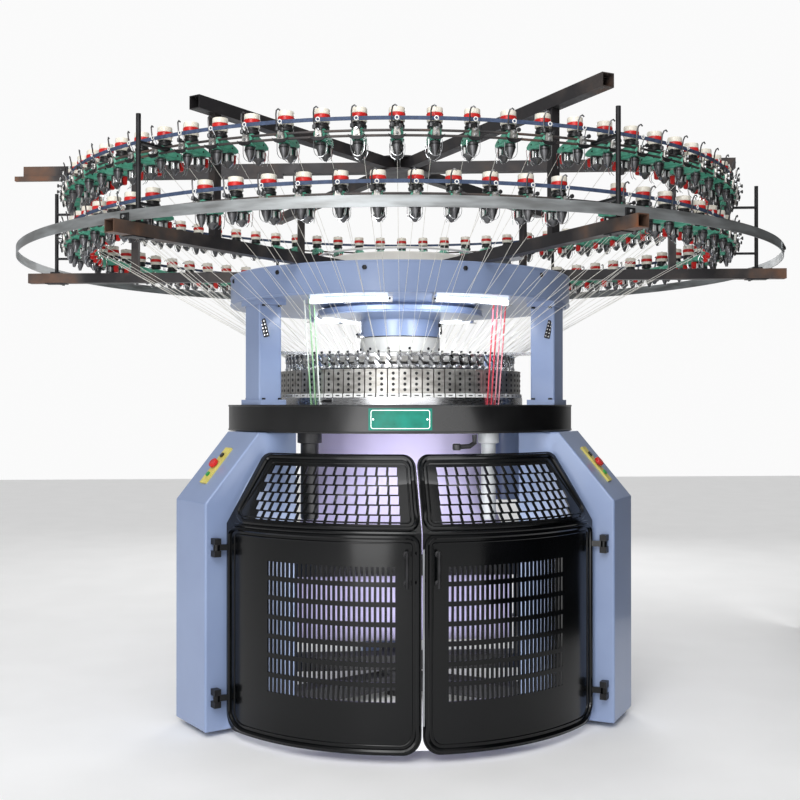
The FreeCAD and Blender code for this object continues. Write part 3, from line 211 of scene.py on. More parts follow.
def ramp(tree, factor, stops):
    """Colour ramp over a factor from (position, colour) stops."""
    node = tree.nodes.new("ShaderNodeValToRGB")
    elements = node.color_ramp.elements
    while len(elements) < len(stops):
        elements.new(0.5)
    for element, (position, colour) in zip(elements, stops):
        element.position = position
        element.color = (*colour, 1)
    tree.links.new(factor, node.inputs["Fac"])
    return node.outputs["Color"]


def spread(tree, factor, low, high):
    """Factor mapped to a range of plain numbers."""
    node = tree.nodes.new("ShaderNodeMapRange")
    node.inputs["From Min"].default_value = 0.3
    node.inputs["From Max"].default_value = 0.7
    node.inputs["To Min"].default_value = low
    node.inputs["To Max"].default_value = high
    tree.links.new(factor, node.inputs["Value"])
    return node.outputs["Result"]


def bumped(tree, surface, height, strength, distance):
    node = tree.nodes.new("ShaderNodeBump")
    node.inputs["Strength"].default_value = strength
    node.inputs["Distance"].default_value = distance
    tree.links.new(height, node.inputs["Height"])
    tree.links.new(node.outputs["Normal"], surface.inputs["Normal"])


def speckled(name, light, dark, rough, metal=0.0, scale=12, rough_span=0.08, bump=0.15, grain=260,
             stretch=None, coat=0.0, emit=None, shine=0.5):
    """Finish whose colour, gloss and fine grain vary a little over the surface."""
    material, tree, surface, place = shader(name)
    broad = noise(tree, place, scale, stretch=stretch)
    tree.links.new(ramp(tree, broad, [(0.35, dark), (0.65, light)]), surface.inputs["Base Color"])
    tree.links.new(spread(tree, broad, rough - rough_span, rough + rough_span), surface.inputs["Roughness"])
    fine = noise(tree, place, grain, 2.0, stretch)
    bumped(tree, surface, fine, bump, 0.0006)
    surface.inputs["Metallic"].default_value = metal
    surface.inputs["Specular IOR Level"].default_value = shine
    if coat:
        surface.inputs["Coat Weight"].default_value = coat
        surface.inputs["Coat Roughness"].default_value = 0.08
    if emit:
        surface.inputs["Emission Color"].default_value = (*emit[0], 1)
        surface.inputs["Emission Strength"].default_value = emit[1]
    return material


def tube_steel(name):
    """Dark square tube, browned with rust towards the cut ends."""
    material, tree, surface, place = shader(name)
    patch = noise(tree, place, 9, 6.0)
    length = tree.nodes.new("ShaderNodeVectorMath")
    length.operation = "LENGTH"
    flat = tree.nodes.new("ShaderNodeVectorMath")
    flat.operation = "MULTIPLY"
    flat.inputs[1].default_value = (1, 1, 0)
    tree.links.new(place, flat.inputs[0])
    tree.links.new(flat.outputs["Vector"], length.inputs[0])
    ends = tree.nodes.new("ShaderNodeMapRange")
    ends.inputs["From Min"].default_value = 1.25
    ends.inputs["From Max"].default_value = 1.68
    ends.inputs["To Min"].default_value = -0.12
    ends.inputs["To Max"].default_value = 0.30
    tree.links.new(length.outputs["Value"], ends.inputs["Value"])
    total = tree.nodes.new("ShaderNodeMath")
    total.operation = "ADD"
    tree.links.new(patch, total.inputs[0])
    tree.links.new(ends.outputs["Result"], total.inputs[1])
    colours = [(0.38, srgb(52, 50, 52)), (0.55, srgb(74, 68, 66)), (0.8, srgb(112, 84, 68)),
               (0.95, srgb(134, 84, 56))]
    tree.links.new(ramp(tree, total.outputs["Value"], colours), surface.inputs["Base Color"])
    tree.links.new(spread(tree, patch, 0.34, 0.62), surface.inputs["Roughness"])
    surface.inputs["Metallic"].default_value = 0.35
    bumped(tree, surface, noise(tree, place, 320, 3.0), 0.25, 0.0008)
    return material


def knit(name, light, dark):
    """Fine knit: courses one above another, and a broad change of shade."""
    material, tree, surface, place = shader(name)
    broad = noise(tree, place, 2.2, 4.0, (1, 1, 0.25))
    tree.links.new(ramp(tree, broad, [(0.3, dark), (0.7, light)]), surface.inputs["Base Color"])
    course = tree.nodes.new("ShaderNodeTexWave")
    course.bands_direction = "Z"
    course.inputs["Scale"].default_value = 160
    course.inputs["Distortion"].default_value = 1.5
    tree.links.new(place, course.inputs["Vector"])
    bumped(tree, surface, course.outputs["Fac"], 0.25, 0.0008)
    surface.inputs["Roughness"].default_value = 0.85
    surface.inputs["Sheen Weight"].default_value = 0.3
    surface.inputs["Sheen Roughness"].default_value = 0.5
    return material


def oil_lines(name):
    """Soft plastic tubes: green and clear ones at the left, red and pink ones at the right."""
    material, tree, surface, place = shader(name)
    apart = tree.nodes.new("ShaderNodeSeparateXYZ")
    tree.links.new(place, apart.inputs["Vector"])
    across = tree.nodes.new("ShaderNodeMapRange")
    across.inputs["From Min"].default_value = -0.43
    across.inputs["From Max"].default_value = 0.43
    tree.links.new(apart.outputs["X"], across.inputs["Value"])
    clear, green, red, pink = srgb(232, 236, 230), srgb(150, 196, 150), srgb(206, 62, 78), srgb(226, 150, 160)
    stops = [(0.0, clear), (0.045, green), (0.085, clear), (0.5, red), (0.90, pink), (0.935, red),
             (0.965, green)]
    colour = ramp(tree, across.outputs["Result"], stops)
    colour.node.color_ramp.interpolation = "CONSTANT"
    tree.links.new(colour, surface.inputs["Base Color"])
    tree.links.new(spread(tree, noise(tree, place, 40), 0.2, 0.36), surface.inputs["Roughness"])
    return material


FINISHES = {                                # name, light and dark colour (0-255), roughness, the rest
    "blue": ("blue_enamel", (141, 158, 193), (131, 148, 184), 0.34,
             dict(scale=3, rough_span=0.05, bump=0.05, grain=420, coat=0.25)),
    "cream": ("cream_enamel", (224, 222, 216), (208, 206, 200), 0.35, dict(scale=6, bump=0.05)),
    "grey": ("grey_enamel", (150, 153, 156), (128, 131, 135), 0.42, dict(scale=8)),
    "black": ("black_satin", (20, 20, 21), (12, 12, 13), 0.34, dict(scale=5, bump=0.08)),
    "oxide": ("black_oxide", (44, 44, 46), (28, 28, 30), 0.45, dict(metal=0.5, scale=30)),
    "iron": ("dark_casting", (60, 60, 63), (40, 40, 43), 0.55, dict(scale=14, bump=0.35, grain=160)),
    "gloss": ("gloss_black", (6, 7, 9), (3, 4, 5), 0.17,
             dict(scale=4, rough_span=0.05, bump=0.03, grain=90, shine=0.32)),
    "green": ("green_plate", (0, 98, 84), (0, 84, 70), 0.35, dict(scale=20, shine=0.2)),
    "steel": ("ground_steel", (206, 206, 208), (180, 181, 184), 0.26,
             dict(metal=1.0, scale=40, bump=0.02, stretch=(1, 1, 12))),
    "cam": ("milled_steel", (190, 188, 184), (150, 147, 142), 0.36,
             dict(metal=0.8, scale=18, bump=0.05, stretch=(1, 1, 3))),
    "gear": ("gear_steel", (120, 120, 122), (88, 88, 90), 0.4, dict(metal=0.9, scale=30)),
    "chrome": ("chrome", (236, 238, 240), (218, 220, 223), 0.1,
             dict(metal=1.0, scale=60, rough_span=0.04, bump=0.02)),
    "strip": ("galvanised", (172, 176, 178), (138, 140, 140), 0.44,
             dict(metal=0.7, scale=7, bump=0.1, stretch=(1, 1, 6))),
    "belt": ("belt_weave", (70, 86, 116), (52, 66, 94), 0.7, dict(scale=90, bump=0.5, grain=700)),
    "wheel": ("cream_moulding", (238, 233, 220), (224, 218, 203), 0.3, dict(scale=30, bump=0.05)),
    "red": ("red_moulding", (214, 40, 36), (186, 28, 26), 0.3, dict(scale=30, bump=0.05)),
    "sea": ("sea_green_moulding", (98, 176, 150), (76, 152, 128), 0.35, dict(scale=30, bump=0.08)),
    "lime": ("green_moulding", (40, 160, 80), (30, 136, 66), 0.3, dict(scale=30, bump=0.05)),
    "dark": ("dark_moulding", (34, 34, 36), (24, 24, 26), 0.35, dict(scale=30, bump=0.08)),
    "white": ("white_moulding", (244, 244, 242), (230, 230, 228), 0.35, dict(scale=30, bump=0.05)),
    "rubber": ("rubber", (38, 38, 40), (26, 26, 28), 0.75, dict(scale=30, bump=0.4)),
    "yellow": ("yellow_plate", (222, 208, 112), (204, 190, 96), 0.4, dict(scale=30, bump=0.05)),
    "lamp": ("lamp_diffuser", (250, 252, 255), (240, 244, 250), 0.5,
             dict(scale=30, emit=((0.86, 0.93, 1.0), 2.4))),
    "yarn": ("spun_yarn", (240, 238, 230), (222, 220, 212), 0.9, dict(scale=200, bump=0.6, grain=900)),
}


def make_materials():
    """Every finish by its key."""
    made = {}
    for key, (name, light, dark, rough, rest) in FINISHES.items():
        made[key] = speckled(name, srgb(*light), srgb(*dark), rough, **rest)
    made["arm"] = tube_steel("drawn_tube")
    # The knit itself is white: its lavender tint is painted lamp light, the colour of the LED lights falling
    # on the cloth.
    made["knit"] = knit("rib_knit_lamp_tint", srgb(222, 214, 250), srgb(202, 194, 238))
    made["oil"] = oil_lines("oil_lines")
    return made


NODE_FINISH = {
    "blue": ["left_leg", "right_leg", "rear_leg", "left_column", "right_column", "rear_column",
             "head_casting", "upper_hub", "drive_motor"],
    "cream": ["lower_hub", "gear_cover"],
    "grey": ["pulley_stand", "seam_strip"],
    "black": ["bed_ring"],
    "oxide": ["column_bolts", "hinge_blocks", "outer_posts", "left_handle", "right_handle"],
    "iron": ["base_spider", "takedown_frame"],
    "gloss": ["left_door", "right_door"],
    "green": ["name_plate"],
    "steel": ["cam_ring", "needle_cylinder", "dial", "guide_ring", "speed_pulley"],
    "cam": ["cam_boxes", "dial_cam_plate"],
    "gear": ["cylinder_gear", "drive_shaft"],
    "strip": ["strip_ring"],
    "arm": ["lower_arms", "top_arms", "top_hub", "inner_posts", "feeder_rods"],
    "belt": ["feeder_belts"],
    "rubber": ["foot_pads", "front_nip_roller", "back_nip_roller"],
    "lamp": ["lamps"],
    "yarn": ["yarns"],
    "red": ["left_stop_button", "right_stop_button"],
    "oil": ["oil_tubes"],
    "lime": ["left_start_button", "right_start_button"],
    "dark": ["left_jog_button", "right_jog_button"],
    "yellow": ["left_control_plate", "right_control_plate"],
    "chrome": ["yarn_guides"],
    "sea": ["upper_feeders", "lower_feeders"],
    "wheel": ["feeder_wheels"],
    "knit": ["fabric_tube", "cloth_roll"],
}

EDGES = {"left_leg": 0.012, "right_leg": 0.012, "rear_leg": 0.012, "bed_ring": 0.002, "left_column": 0.004,
         "right_column": 0.004, "rear_column": 0.004, "head_casting": 0.002, "gear_cover": 0.002,
         "left_control_plate": 0.0015, "right_control_plate": 0.0015, "lower_arms": 0.002, "top_arms": 0.002,
         "cam_boxes": 0.0008, "cam_ring": 0.001, "hinge_blocks": 0.0015, "foot_pads": 0.002,
         "takedown_frame": 0.002, "base_spider": 0.003}


def finish_nodes(m):
    """Give every CAD node its finish."""
    for key, names in NODE_FINISH.items():
        for name in names:
            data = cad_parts[name].data
            data.materials.clear()
            data.materials.append(m[key])


# ---- Mesh tools ----

def circle(radius, sides):
    """(cosine, sine) pairs times a radius, once round."""
    return [(radius * math.cos(TURN * k / sides), radius * math.sin(TURN * k / sides)) for k in range(sides)]


def oblong(left, low, right, high):
    """Corners of a rectangle, anticlockwise from its lower left."""
    return [(left, low), (right, low), (right, high), (left, high)]


class Shape:
    """Mesh in the making: points, faces and the finish of each face."""

    def __init__(self):
        self.points = []
        self.faces = []
        self.keys = []

    def add(self, points, faces, key):
        base = len(self.points)
        self.points += [Vector(point) for point in points]
        self.faces += [[base + i for i in face] for face in faces]
        self.keys += [key] * len(faces)

    def loft(self, rings, key, capped=True, closed=False):
        """Skin over rings of equally many points, in order; closed joins the last ring to the first."""
        count = len(rings[0])
        steps = len(rings) if closed else len(rings) - 1
        faces = []
        for k in range(steps):
            for i in range(count):
                j = (i + 1) % count
                low = k * count
                high = (k + 1) % len(rings) * count
                faces.append((low + i, low + j, high + j, high + i))
        if capped and not closed:
            faces.append(tuple(reversed(range(count))))
            faces.append(tuple(range((len(rings) - 1) * count, len(rings) * count)))
        self.add([point for ring in rings for point in ring], faces, key)

    def lathe(self, profile, key, at=(0, 0), sides=16, axis="Z"):
        """Turned form from (radius, height) pairs, on an upright line or one pointing outwards along -Y."""
        rings = []
        for radius, height in profile:
            ring = []
            for across, along in circle(radius, sides):
                if axis == "Z":
                    ring.append((at[0] + across, at[1] + along, height))
                else:
                    ring.append((at[0] + across, -height, at[1] + along))
            rings.append(ring)
        self.loft(rings, key)

    def slab(self, outline, low, high, key, edge=0.0, plane="side"):
        """Outline pulled from low to high with chamfered edges: plane side is (radius, height) pulled across,
        plane face is (across, height) pulled outwards, plane top is (across, radius) pulled up."""
        middle = Vector((sum(p[0] for p in outline), sum(p[1] for p in outline))) / len(outline)

        def ring(level, inset):
            out = []
            for point in outline:
                flat = Vector(point)
                inward = (middle - flat).normalized() * inset
                u, v = flat + inward
                out.append({"side": (level, -u, v), "face": (u, -level, v), "top": (u, -v, level)}[plane])
            return out

        if edge:
            levels = [(low, edge), (low + edge, 0), (high - edge, 0), (high, edge)]
        else:
            levels = [(low, 0), (high, 0)]
        self.loft([ring(level, inset) for level, inset in levels], key)

    def wire(self, path, radius, key, sides=5, closed=False):
        """Round wire through the points of a path."""
        path = [Vector(point) for point in path]
        rings = []
        side = None
        for i, point in enumerate(path):
            ahead = path[(i + 1) % len(path)] if closed or i + 1 < len(path) else point
            behind = path[i - 1] if closed or i else point
            along = (ahead - behind).normalized()
            if side is None:
                side = along.orthogonal().normalized()
            side = (side - along * side.dot(along)).normalized()
            up = along.cross(side)
            rings.append([point + side * u + up * v for u, v in circle(radius, sides)])
        self.loft(rings, key, closed=closed)

    def stamp(self, other, place):
        base = len(self.points)
        self.points += [place @ point for point in other.points]
        self.faces += [[base + i for i in face] for face in other.faces]
        self.keys += other.keys

    def piece(self, name, body, bevel=0.0, sharp=38, subdivide=0):
        """The finished object, riding on a body."""
        mesh = bpy.data.meshes.new(name)
        mesh.from_pydata(self.points, [], self.faces)
        order = sorted(set(self.keys))
        for key in order:
            mesh.materials.append(materials[key])
        mesh.polygons.foreach_set("material_index", [order.index(key) for key in self.keys])
        work = bmesh.new()
        work.from_mesh(mesh)
        bmesh.ops.recalc_face_normals(work, faces=work.faces)
        work.to_mesh(mesh)
        work.free()
        mesh.polygons.foreach_set("use_smooth", [True] * len(mesh.polygons))
        mesh.set_sharp_from_angle(angle=sharp * DEG)
        thing = bpy.data.objects.new(name, mesh)
        bpy.context.scene.collection.objects.link(thing)
        if bevel:
            soften(thing, bevel)
        if subdivide:
            modifier = thing.modifiers.new("subdivision", "SUBSURF")
            modifier.levels = subdivide
            modifier.render_levels = subdivide
        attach(thing, body)
        return thing


def soften(thing, width, segments=2):
    """Rounded edges by a bevel that leaves the mesh as it is."""
    modifier = thing.modifiers.new("edges", "BEVEL")
    modifier.width = width
    modifier.segments = segments
    modifier.limit_method = "ANGLE"
    modifier.angle_limit = 40 * DEG
    modifier.harden_normals = False


def around(azimuth, z=0.0):
    """Placement of something drawn at azimuth 0."""
    return Matrix.Translation((0, 0, z)) @ Matrix.Rotation(azimuth * DEG, 4, "Z")


# ---- Yarn feeders ----

UPPER_TIER = 2.008
LOWER_TIER = 1.815
STATIONS = 72
PITCH = 360 // STATIONS
WHEEL_AXIS = 1.339
WHEEL_LOW = 0.0735
ROD_RISE = (0.044, 0.060)
DRUM_AT = 1.299
ARMS = [-38 + 60 * i for i in range(6)]
POST_CLEAR = 2.0


def feeder_azimuths(tier):
    """Stations of a tier's feeders; the lower tier leaves room at the arms' posts."""
    if tier == UPPER_TIER:
        return [PITCH * i for i in range(STATIONS)]
    free = []
    for i in range(STATIONS):
        azimuth = PITCH * i + PITCH / 2
        if all(abs((azimuth - arm + 180) % 360 - 180) >= POST_CLEAR for arm in ARMS):
            free.append(azimuth)
    return free


def feeder_body(s):
    """Moulded wedge with its ribbed cover, pointing inwards from the clamp."""
    wedge = [(1.378, 0.036), (1.381, 0.060), (1.366, 0.071), (1.330, 0.0725), (1.300, 0.066), (1.272, 0.056),
             (1.259, 0.048), (1.259, 0.041), (1.272, 0.036), (1.310, 0.032), (1.345, 0.031)]
    s.slab(wedge, -0.0175, 0.0175, "sea", 0.004)
    for side in (-1, 1):
        rib = [(1.360, 0.042), (1.358, 0.064), (1.320, 0.064), (1.290, 0.055), (1.290, 0.042)]
        low, high = sorted((side * 0.0165, side * 0.0195))
        s.slab(rib, low, high, "sea", 0.001)
        for at in (1.352, 1.302):
            ring = [(side * 0.0212, u - at, 0.048 + v) for u, v in circle(0.003, 6)]
            inner = [(side * 0.0190, point[1], point[2]) for point in ring]
            s.loft([inner, ring], "oxide")


def feeder_clamp(s):
    """Cast clamp on the two rods, with horns either side, two bolts and a thumb screw."""
    jaw = [(-0.012, 0.034), (0.012, 0.034), (0.012, 0.052), (0.009, 0.068), (-0.009, 0.068), (-0.012, 0.052)]
    s.slab(jaw, 1.372, 1.389, "cam", 0.002, "face")
    horns = [(-0.027, 0.046), (-0.020, 0.034), (-0.009, 0.029), (0.009, 0.029), (0.020, 0.034),
             (0.027, 0.046), (0.015, 0.041), (-0.015, 0.041)]
    s.slab(horns, 1.3885, 1.3925, "oxide", 0.0008, "face")
    for rise in ROD_RISE:
        s.lathe([(0.0048, 1.389), (0.0048, 1.394), (0.0035, 1.3955)], "chrome", (0, rise + 0.004), 6, "Y")
    s.lathe([(0.003, 1.388), (0.003, 1.398), (0.007, 1.399), (0.007, 1.404), (0.005, 1.405)], "dark",
            (0.0105, 0.066), 8, "Y")


def feeder_drum(s):
    """Storage drum: flanges, a cage of dark rods over a pale core, and the tapered tip below."""
    centre = (0, -DRUM_AT)
    s.lathe([(0.013, 0.034), (0.0195, 0.0325), (0.0205, 0.030), (0.0185, 0.0265)], "dark", centre, 14)
    s.lathe([(0.0145, 0.004), (0.0145, 0.029)], "chrome", centre, 12)
    for i in range(8):
        turn = TURN * (i + 0.5) / 8
        at = (centre[0] + 0.0165 * math.cos(turn), centre[1] + 0.0165 * math.sin(turn))
        s.lathe([(0.0031, 0.003), (0.0031, 0.029)], "dark" if i % 2 else "white", at, 5)
    s.lathe([(0.0185, 0.007), (0.0198, 0.004), (0.0185, 0.0005), (0.011, -0.0045), (0.0065, -0.0125),
             (0.0025, -0.0148)], "gear", centre, 14)


def feeder_nose(s):
    """Grey nose under the clamp, tapered to its yarn exit."""
    s.lathe([(0.011, 0.0335), (0.0165, 0.030), (0.0165, 0.020), (0.0135, 0.008), (0.0075, -0.006),
             (0.0045, -0.015)], "gear", (0, -1.356), 12)
    s.lathe([(0.0172, 0.0235), (0.0178, 0.0215), (0.0172, 0.0195)], "dark", (0, -1.356), 12)


def feeder_wires(s):
    """Chrome guide loops below, stop arms at the inner end and the hook at the back."""
    for at, half, drop in ((1.362, 0.021, -0.0145), (1.299, 0.024, -0.0135)):
        path = []
        for k in range(9):
            turn = math.pi * k / 8
            path.append((half * math.cos(turn), -at, 0.012 + (drop - 0.012) * math.sin(turn)))
        s.wire([(half, -at, 0.036)] + path + [(-half, -at, 0.036)], 0.0011, "chrome", 4)
    for side in (-1, 1):
        s.wire([(0.011 * side, -1.270, 0.044), (0.013 * side, -1.252, 0.040), (0.006 * side, -1.243, 0.020),
                (0.006 * side, -1.246, 0.002), (0.009 * side, -1.255, -0.008)], 0.001, "chrome", 4)
    s.wire([(-0.013, -1.377, 0.066), (-0.016, -1.380, 0.090), (-0.016, -1.384, 0.118),
            (-0.013, -1.388, 0.130), (-0.006, -1.391, 0.134), (0.000, -1.391, 0.129)], 0.0026, "gear", 5)
    s.lathe([(0.0035, 0.068), (0.0065, 0.070), (0.0065, 0.080), (0.003, 0.083)], "gear",
            (-0.0145, -1.3805), 8)
    eye = [(u, -1.3935, 0.094 + v) for u, v in circle(0.006, 8)]
    s.wire(eye, 0.0018, "white", 4, closed=True)
    s.wire([(0.006, -1.3935, 0.090), (0.008, -1.386, 0.080), (0.009, -1.380, 0.068)], 0.0014, "chrome", 4)


def feeder_lens(s):
    """Red stop lamp under the inner end, with a bright tip and a white collar above."""
    box = [(1.262, 0.034), (1.282, 0.034), (1.280, 0.008), (1.276, 0.004), (1.266, 0.004), (1.263, 0.008)]
    s.slab(box, -0.0085, 0.0085, "red", 0.002)
    s.lathe([(0.0085, 0.0565), (0.0095, 0.0585), (0.004, 0.062), (0.0015, 0.070)], "chrome",
            (0.0, -1.2835), 10)
    s.lathe([(0.009, 0.060), (0.0098, 0.0615), (0.004, 0.0640)], "white", (0.0, -1.2835), 10)


def make_feeders():
    feeder = Shape()
    for part in (feeder_body, feeder_clamp, feeder_drum, feeder_nose, feeder_wires, feeder_lens):
        part(feeder)
    wheel = Shape()
    centre = (0, -WHEEL_AXIS)
    low = WHEEL_LOW
    wheel.lathe([(0.017, low), (0.0235, low + 0.001), (0.0245, low + 0.009), (0.0215, low + 0.0125),
                 (0.0215, low + 0.0195)], "dark", centre, 18)
    wheel.lathe([(0.022, low + 0.0195), (0.0249, low + 0.0205), (0.0249, low + 0.033)], "wheel", centre, 18)
    wheel.lathe([(0.0252, low + 0.0332), (0.0265, low + 0.0345), (0.0265, low + 0.0445),
                 (0.025, low + 0.0462)], "red", centre, 18)
    wheel.lathe([(0.0238, low + 0.046), (0.0252, low + 0.0475), (0.0252, low + 0.060), (0.0238, low + 0.0632),
                 (0.015, low + 0.0638), (0.013, low + 0.061), (0.006, low + 0.061)], "wheel", centre, 18)
    wheel.lathe([(0.0052, low + 0.0605), (0.0052, low + 0.0665), (0.0035, low + 0.0675)], "gear", centre, 8)
    for name, tier in (("upper_feeder_units", UPPER_TIER), ("lower_feeder_units", LOWER_TIER)):
        row = Shape()
        for azimuth in feeder_azimuths(tier):
            row.stamp(feeder, around(azimuth + random.uniform(-0.08, 0.08), tier))
        units = row.piece(name, "frame")
        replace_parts(units, "upper_feeders" if tier == UPPER_TIER else "lower_feeders")
    wheels = Shape()
    for tier in (UPPER_TIER, LOWER_TIER):
        for azimuth in feeder_azimuths(tier):
            wheels.stamp(wheel, around(azimuth, tier))
    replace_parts(wheels.piece("feeder_wheel_stacks", "frame"), "feeder_wheels")


# ---- Cams and yarn guides ----

CAM_FACE = 0.511
CAM_LOW, CAM_HIGH = heights("cam_boxes")
SCREW_RISES = (0.030, 0.051, 0.072, 0.093)


def make_cam_details():
    """Four socket screws on each cam box, a pale foot with its slot, and a cap along the top edge."""
    box = Shape()
    for rise in SCREW_RISES:
        z = CAM_LOW + rise
        box.lathe([(0.0062, CAM_FACE - 0.002), (0.0062, CAM_FACE + 0.0004), (0.0054, CAM_FACE + 0.0012),
                   (0.0032, CAM_FACE + 0.0010)], "oxide", (0, z), 10, "Y")
    foot = oblong(-0.0205, CAM_LOW + 0.0005, 0.0205, CAM_LOW + 0.0155)
    box.slab(foot, CAM_FACE + 0.0035, CAM_FACE + 0.0062, "white", 0.0012, "face")
    slot_points = [(-0.0075, CAM_LOW + 0.006), (0.0075, CAM_LOW + 0.006), (0.0085, CAM_LOW + 0.008),
                   (0.0075, CAM_LOW + 0.010), (-0.0075, CAM_LOW + 0.010), (-0.0085, CAM_LOW + 0.008)]
    box.slab(slot_points, CAM_FACE + 0.0058, CAM_FACE + 0.0066, "oxide", 0, "face")
    cap = oblong(-0.019, CAM_HIGH - 0.005, 0.019, CAM_HIGH + 0.0012)
    box.slab(cap, CAM_FACE - 0.012, CAM_FACE + 0.0012, "cam", 0.0008, "face")
    boxes = Shape()
    for i in range(STATIONS):
        boxes.stamp(box, around(PITCH * (i + 0.5)))
    boxes.piece("cam_box_screws", "frame")


GUIDE_TIP = (0.446, 1.3745)


def make_yarn_guides():
    """Blade, holder and ceramic eyes of each knitting station, in two rows round the guide ring."""
    unit = Shape()
    holder = [(-0.0085, 1.398), (0.0085, 1.398), (0.0085, 1.428), (0.0055, 1.4335), (-0.0055, 1.4335),
              (-0.0085, 1.428)]
    unit.slab(holder, 0.4785, 0.4825, "gear", 0.0008, "face")
    unit.lathe([(0.0034, 0.4825), (0.0034, 0.486), (0.0022, 0.487)], "oxide", (0, 1.421), 8, "Y")
    blade = [(-0.0100, 1.404), (-0.0030, 1.404), (0.0125, 1.383), (0.0105, 1.3745), (0.0035, 1.3765),
             (-0.0100, 1.392)]
    unit.slab(blade, 0.4835, 0.4855, "chrome", 0.0006, "face")
    upper = [(-0.0130, 1.429), (-0.0085, 1.4330), (0.0045, 1.4180), (0.0105, 1.4075), (0.0050, 1.4045),
             (-0.0040, 1.4130)]
    unit.slab(upper, 0.4858, 0.4876, "chrome", 0.0006, "face")
    for across, height in ((0.0085, 1.3795), (0.0065, 1.4095), (-0.0095, 1.4290)):
        eye = [(across + u, -0.4872, height + v) for u, v in circle(0.0030, 8)]
        unit.wire(eye, 0.0011, "white", 4, closed=True)
    tip_radius, tip_height = GUIDE_TIP
    finger = [(0.480, 1.398), (0.480, 1.412), (0.470, 1.408), (tip_radius + 0.003, tip_height + 0.012),
              (tip_radius, tip_height), (tip_radius + 0.005, tip_height - 0.0005)]
    unit.slab(finger, -0.0035, 0.0035, "chrome", 0.0006)
    knob = [(0.0042, 1.4335), (0.0052, 1.4350), (0.0052, 1.4395), (0.0030, 1.4420)]
    unit.lathe(knob, "oxide", (0.0030, -0.4805), 8)
    guides = Shape()
    for i in range(STATIONS):
        guides.stamp(unit, around(PITCH * i))
    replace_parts(guides.piece("yarn_guide_units", "frame"), "yarn_guides")


# ---- Doors ----

DOOR_ARC = 0.810
DOOR_CENTRE = -0.140
DOOR_LOW, DOOR_TOP = heights("right_door")
DOOR_CREASE = 0.790
DOOR_LEAN = 0.2445
DOOR_EDGE = 0.6931
UPPER_EDGE = 0.556
BEAD = 0.0095


SEAM_INSET = 0.016
HANDLE_AT = 0.055
HANDLE_FEET = (0.618, 0.718)


def door_face(x, z, proud=0.0):
    """Point on the right door's outer face at a place in its front view."""
    back = DOOR_LEAN * max(0.0, z - DOOR_CREASE) / (DOOR_TOP - DOOR_CREASE)
    return Vector((x, DOOR_CENTRE + back - math.sqrt((DOOR_ARC + proud) ** 2 - x * x), z))


def rounded(corners, radii, step=0.03):
    """Closed outline with rounded corners, its straight runs split so that it can follow a curved face."""
    count = len(corners)
    out = []
    for i, radius in enumerate(radii):
        corner = Vector(corners[i])
        before = (Vector(corners[i - 1]) - corner).normalized()
        after = (Vector(corners[(i + 1) % count]) - corner).normalized()
        half = before.angle(after) / 2
        centre = corner + (before + after).normalized() * radius / math.sin(half)
        start = corner + before * radius / math.tan(half) - centre
        end = corner + after * radius / math.tan(half) - centre
        for k in range(7):
            share = k / 6
            out.append(centre + (start * (1 - share) + end * share).normalized() * radius)
    fine = []
    for i, point in enumerate(out):
        following = out[(i + 1) % len(out)]
        pieces = max(1, round((following - point).length / step))
        fine += [point.lerp(following, k / pieces) for k in range(pieces)]
    return fine


def make_doors():
    """Raised bead round each moulded section, a step beside it, and washers under the handle's feet."""
    inset = 0.013
    slope = (UPPER_EDGE - DOOR_EDGE) / (DOOR_TOP - DOOR_CREASE)
    low_edge = DOOR_EDGE - inset
    lower = oblong(SEAM_INSET, DOOR_LOW + inset, low_edge, DOOR_CREASE - inset)
    upper = [(SEAM_INSET, DOOR_CREASE + inset), (low_edge + slope * inset - 0.004, DOOR_CREASE + inset),
             (UPPER_EDGE - inset - 0.003, DOOR_TOP - inset), (SEAM_INSET, DOOR_TOP - inset)]
    panels = ((lower, (0.058, 0.058, 0.030, 0.030)), (upper, (0.030, 0.030, 0.038, 0.036)))
    crease = [(x / 1000, DOOR_CREASE) for x in range(20, 680, 22)]
    for side, hand in ((1, "right"), (-1, "left")):
        s = Shape()
        for corners, radii in panels:
            middle = sum((Vector(c) for c in corners), Vector((0, 0))) / 4
            for shrink, radius in ((0, BEAD), (0.020, 0.0032)):
                inner = [Vector(c) + Vector((math.copysign(shrink, middle.x - c[0]),
                                             math.copysign(shrink, middle.y - c[1]))) for c in corners]
                path = rounded(inner, [max(0.012, r - shrink) for r in radii])
                s.wire([door_face(x, z) for x, z in path], radius, "gloss", 8, closed=True)
        s.wire([door_face(x, z, 0.0005) for x, z in crease], 0.0070, "gloss", 8)
        for z in HANDLE_FEET:
            face = -door_face(HANDLE_AT, z).y
            s.lathe([(0.012, face - 0.001), (0.011, face + 0.004), (0.008, face + 0.006)], "oxide",
                    (HANDLE_AT, z), 12, "Y")
        if side < 0:
            s.points = [Vector((-p.x, p.y, p.z)) for p in s.points]
        s.piece(f"{hand}_door_rims", f"{hand}_door_unit")


# ---- Take-down cloth ----

def ellipse_ring(half_x, half_y, z, sides=120, folds=0.0):
    ring = []
    for i in range(sides):
        turn = TURN * i / sides
        ripple = 1 + folds * (math.sin(9 * turn + 1.1) + 0.6 * math.sin(17 * turn + 3 * z))
        ring.append((half_x * ripple * math.cos(turn), half_y * ripple * math.sin(turn), z))
    return ring


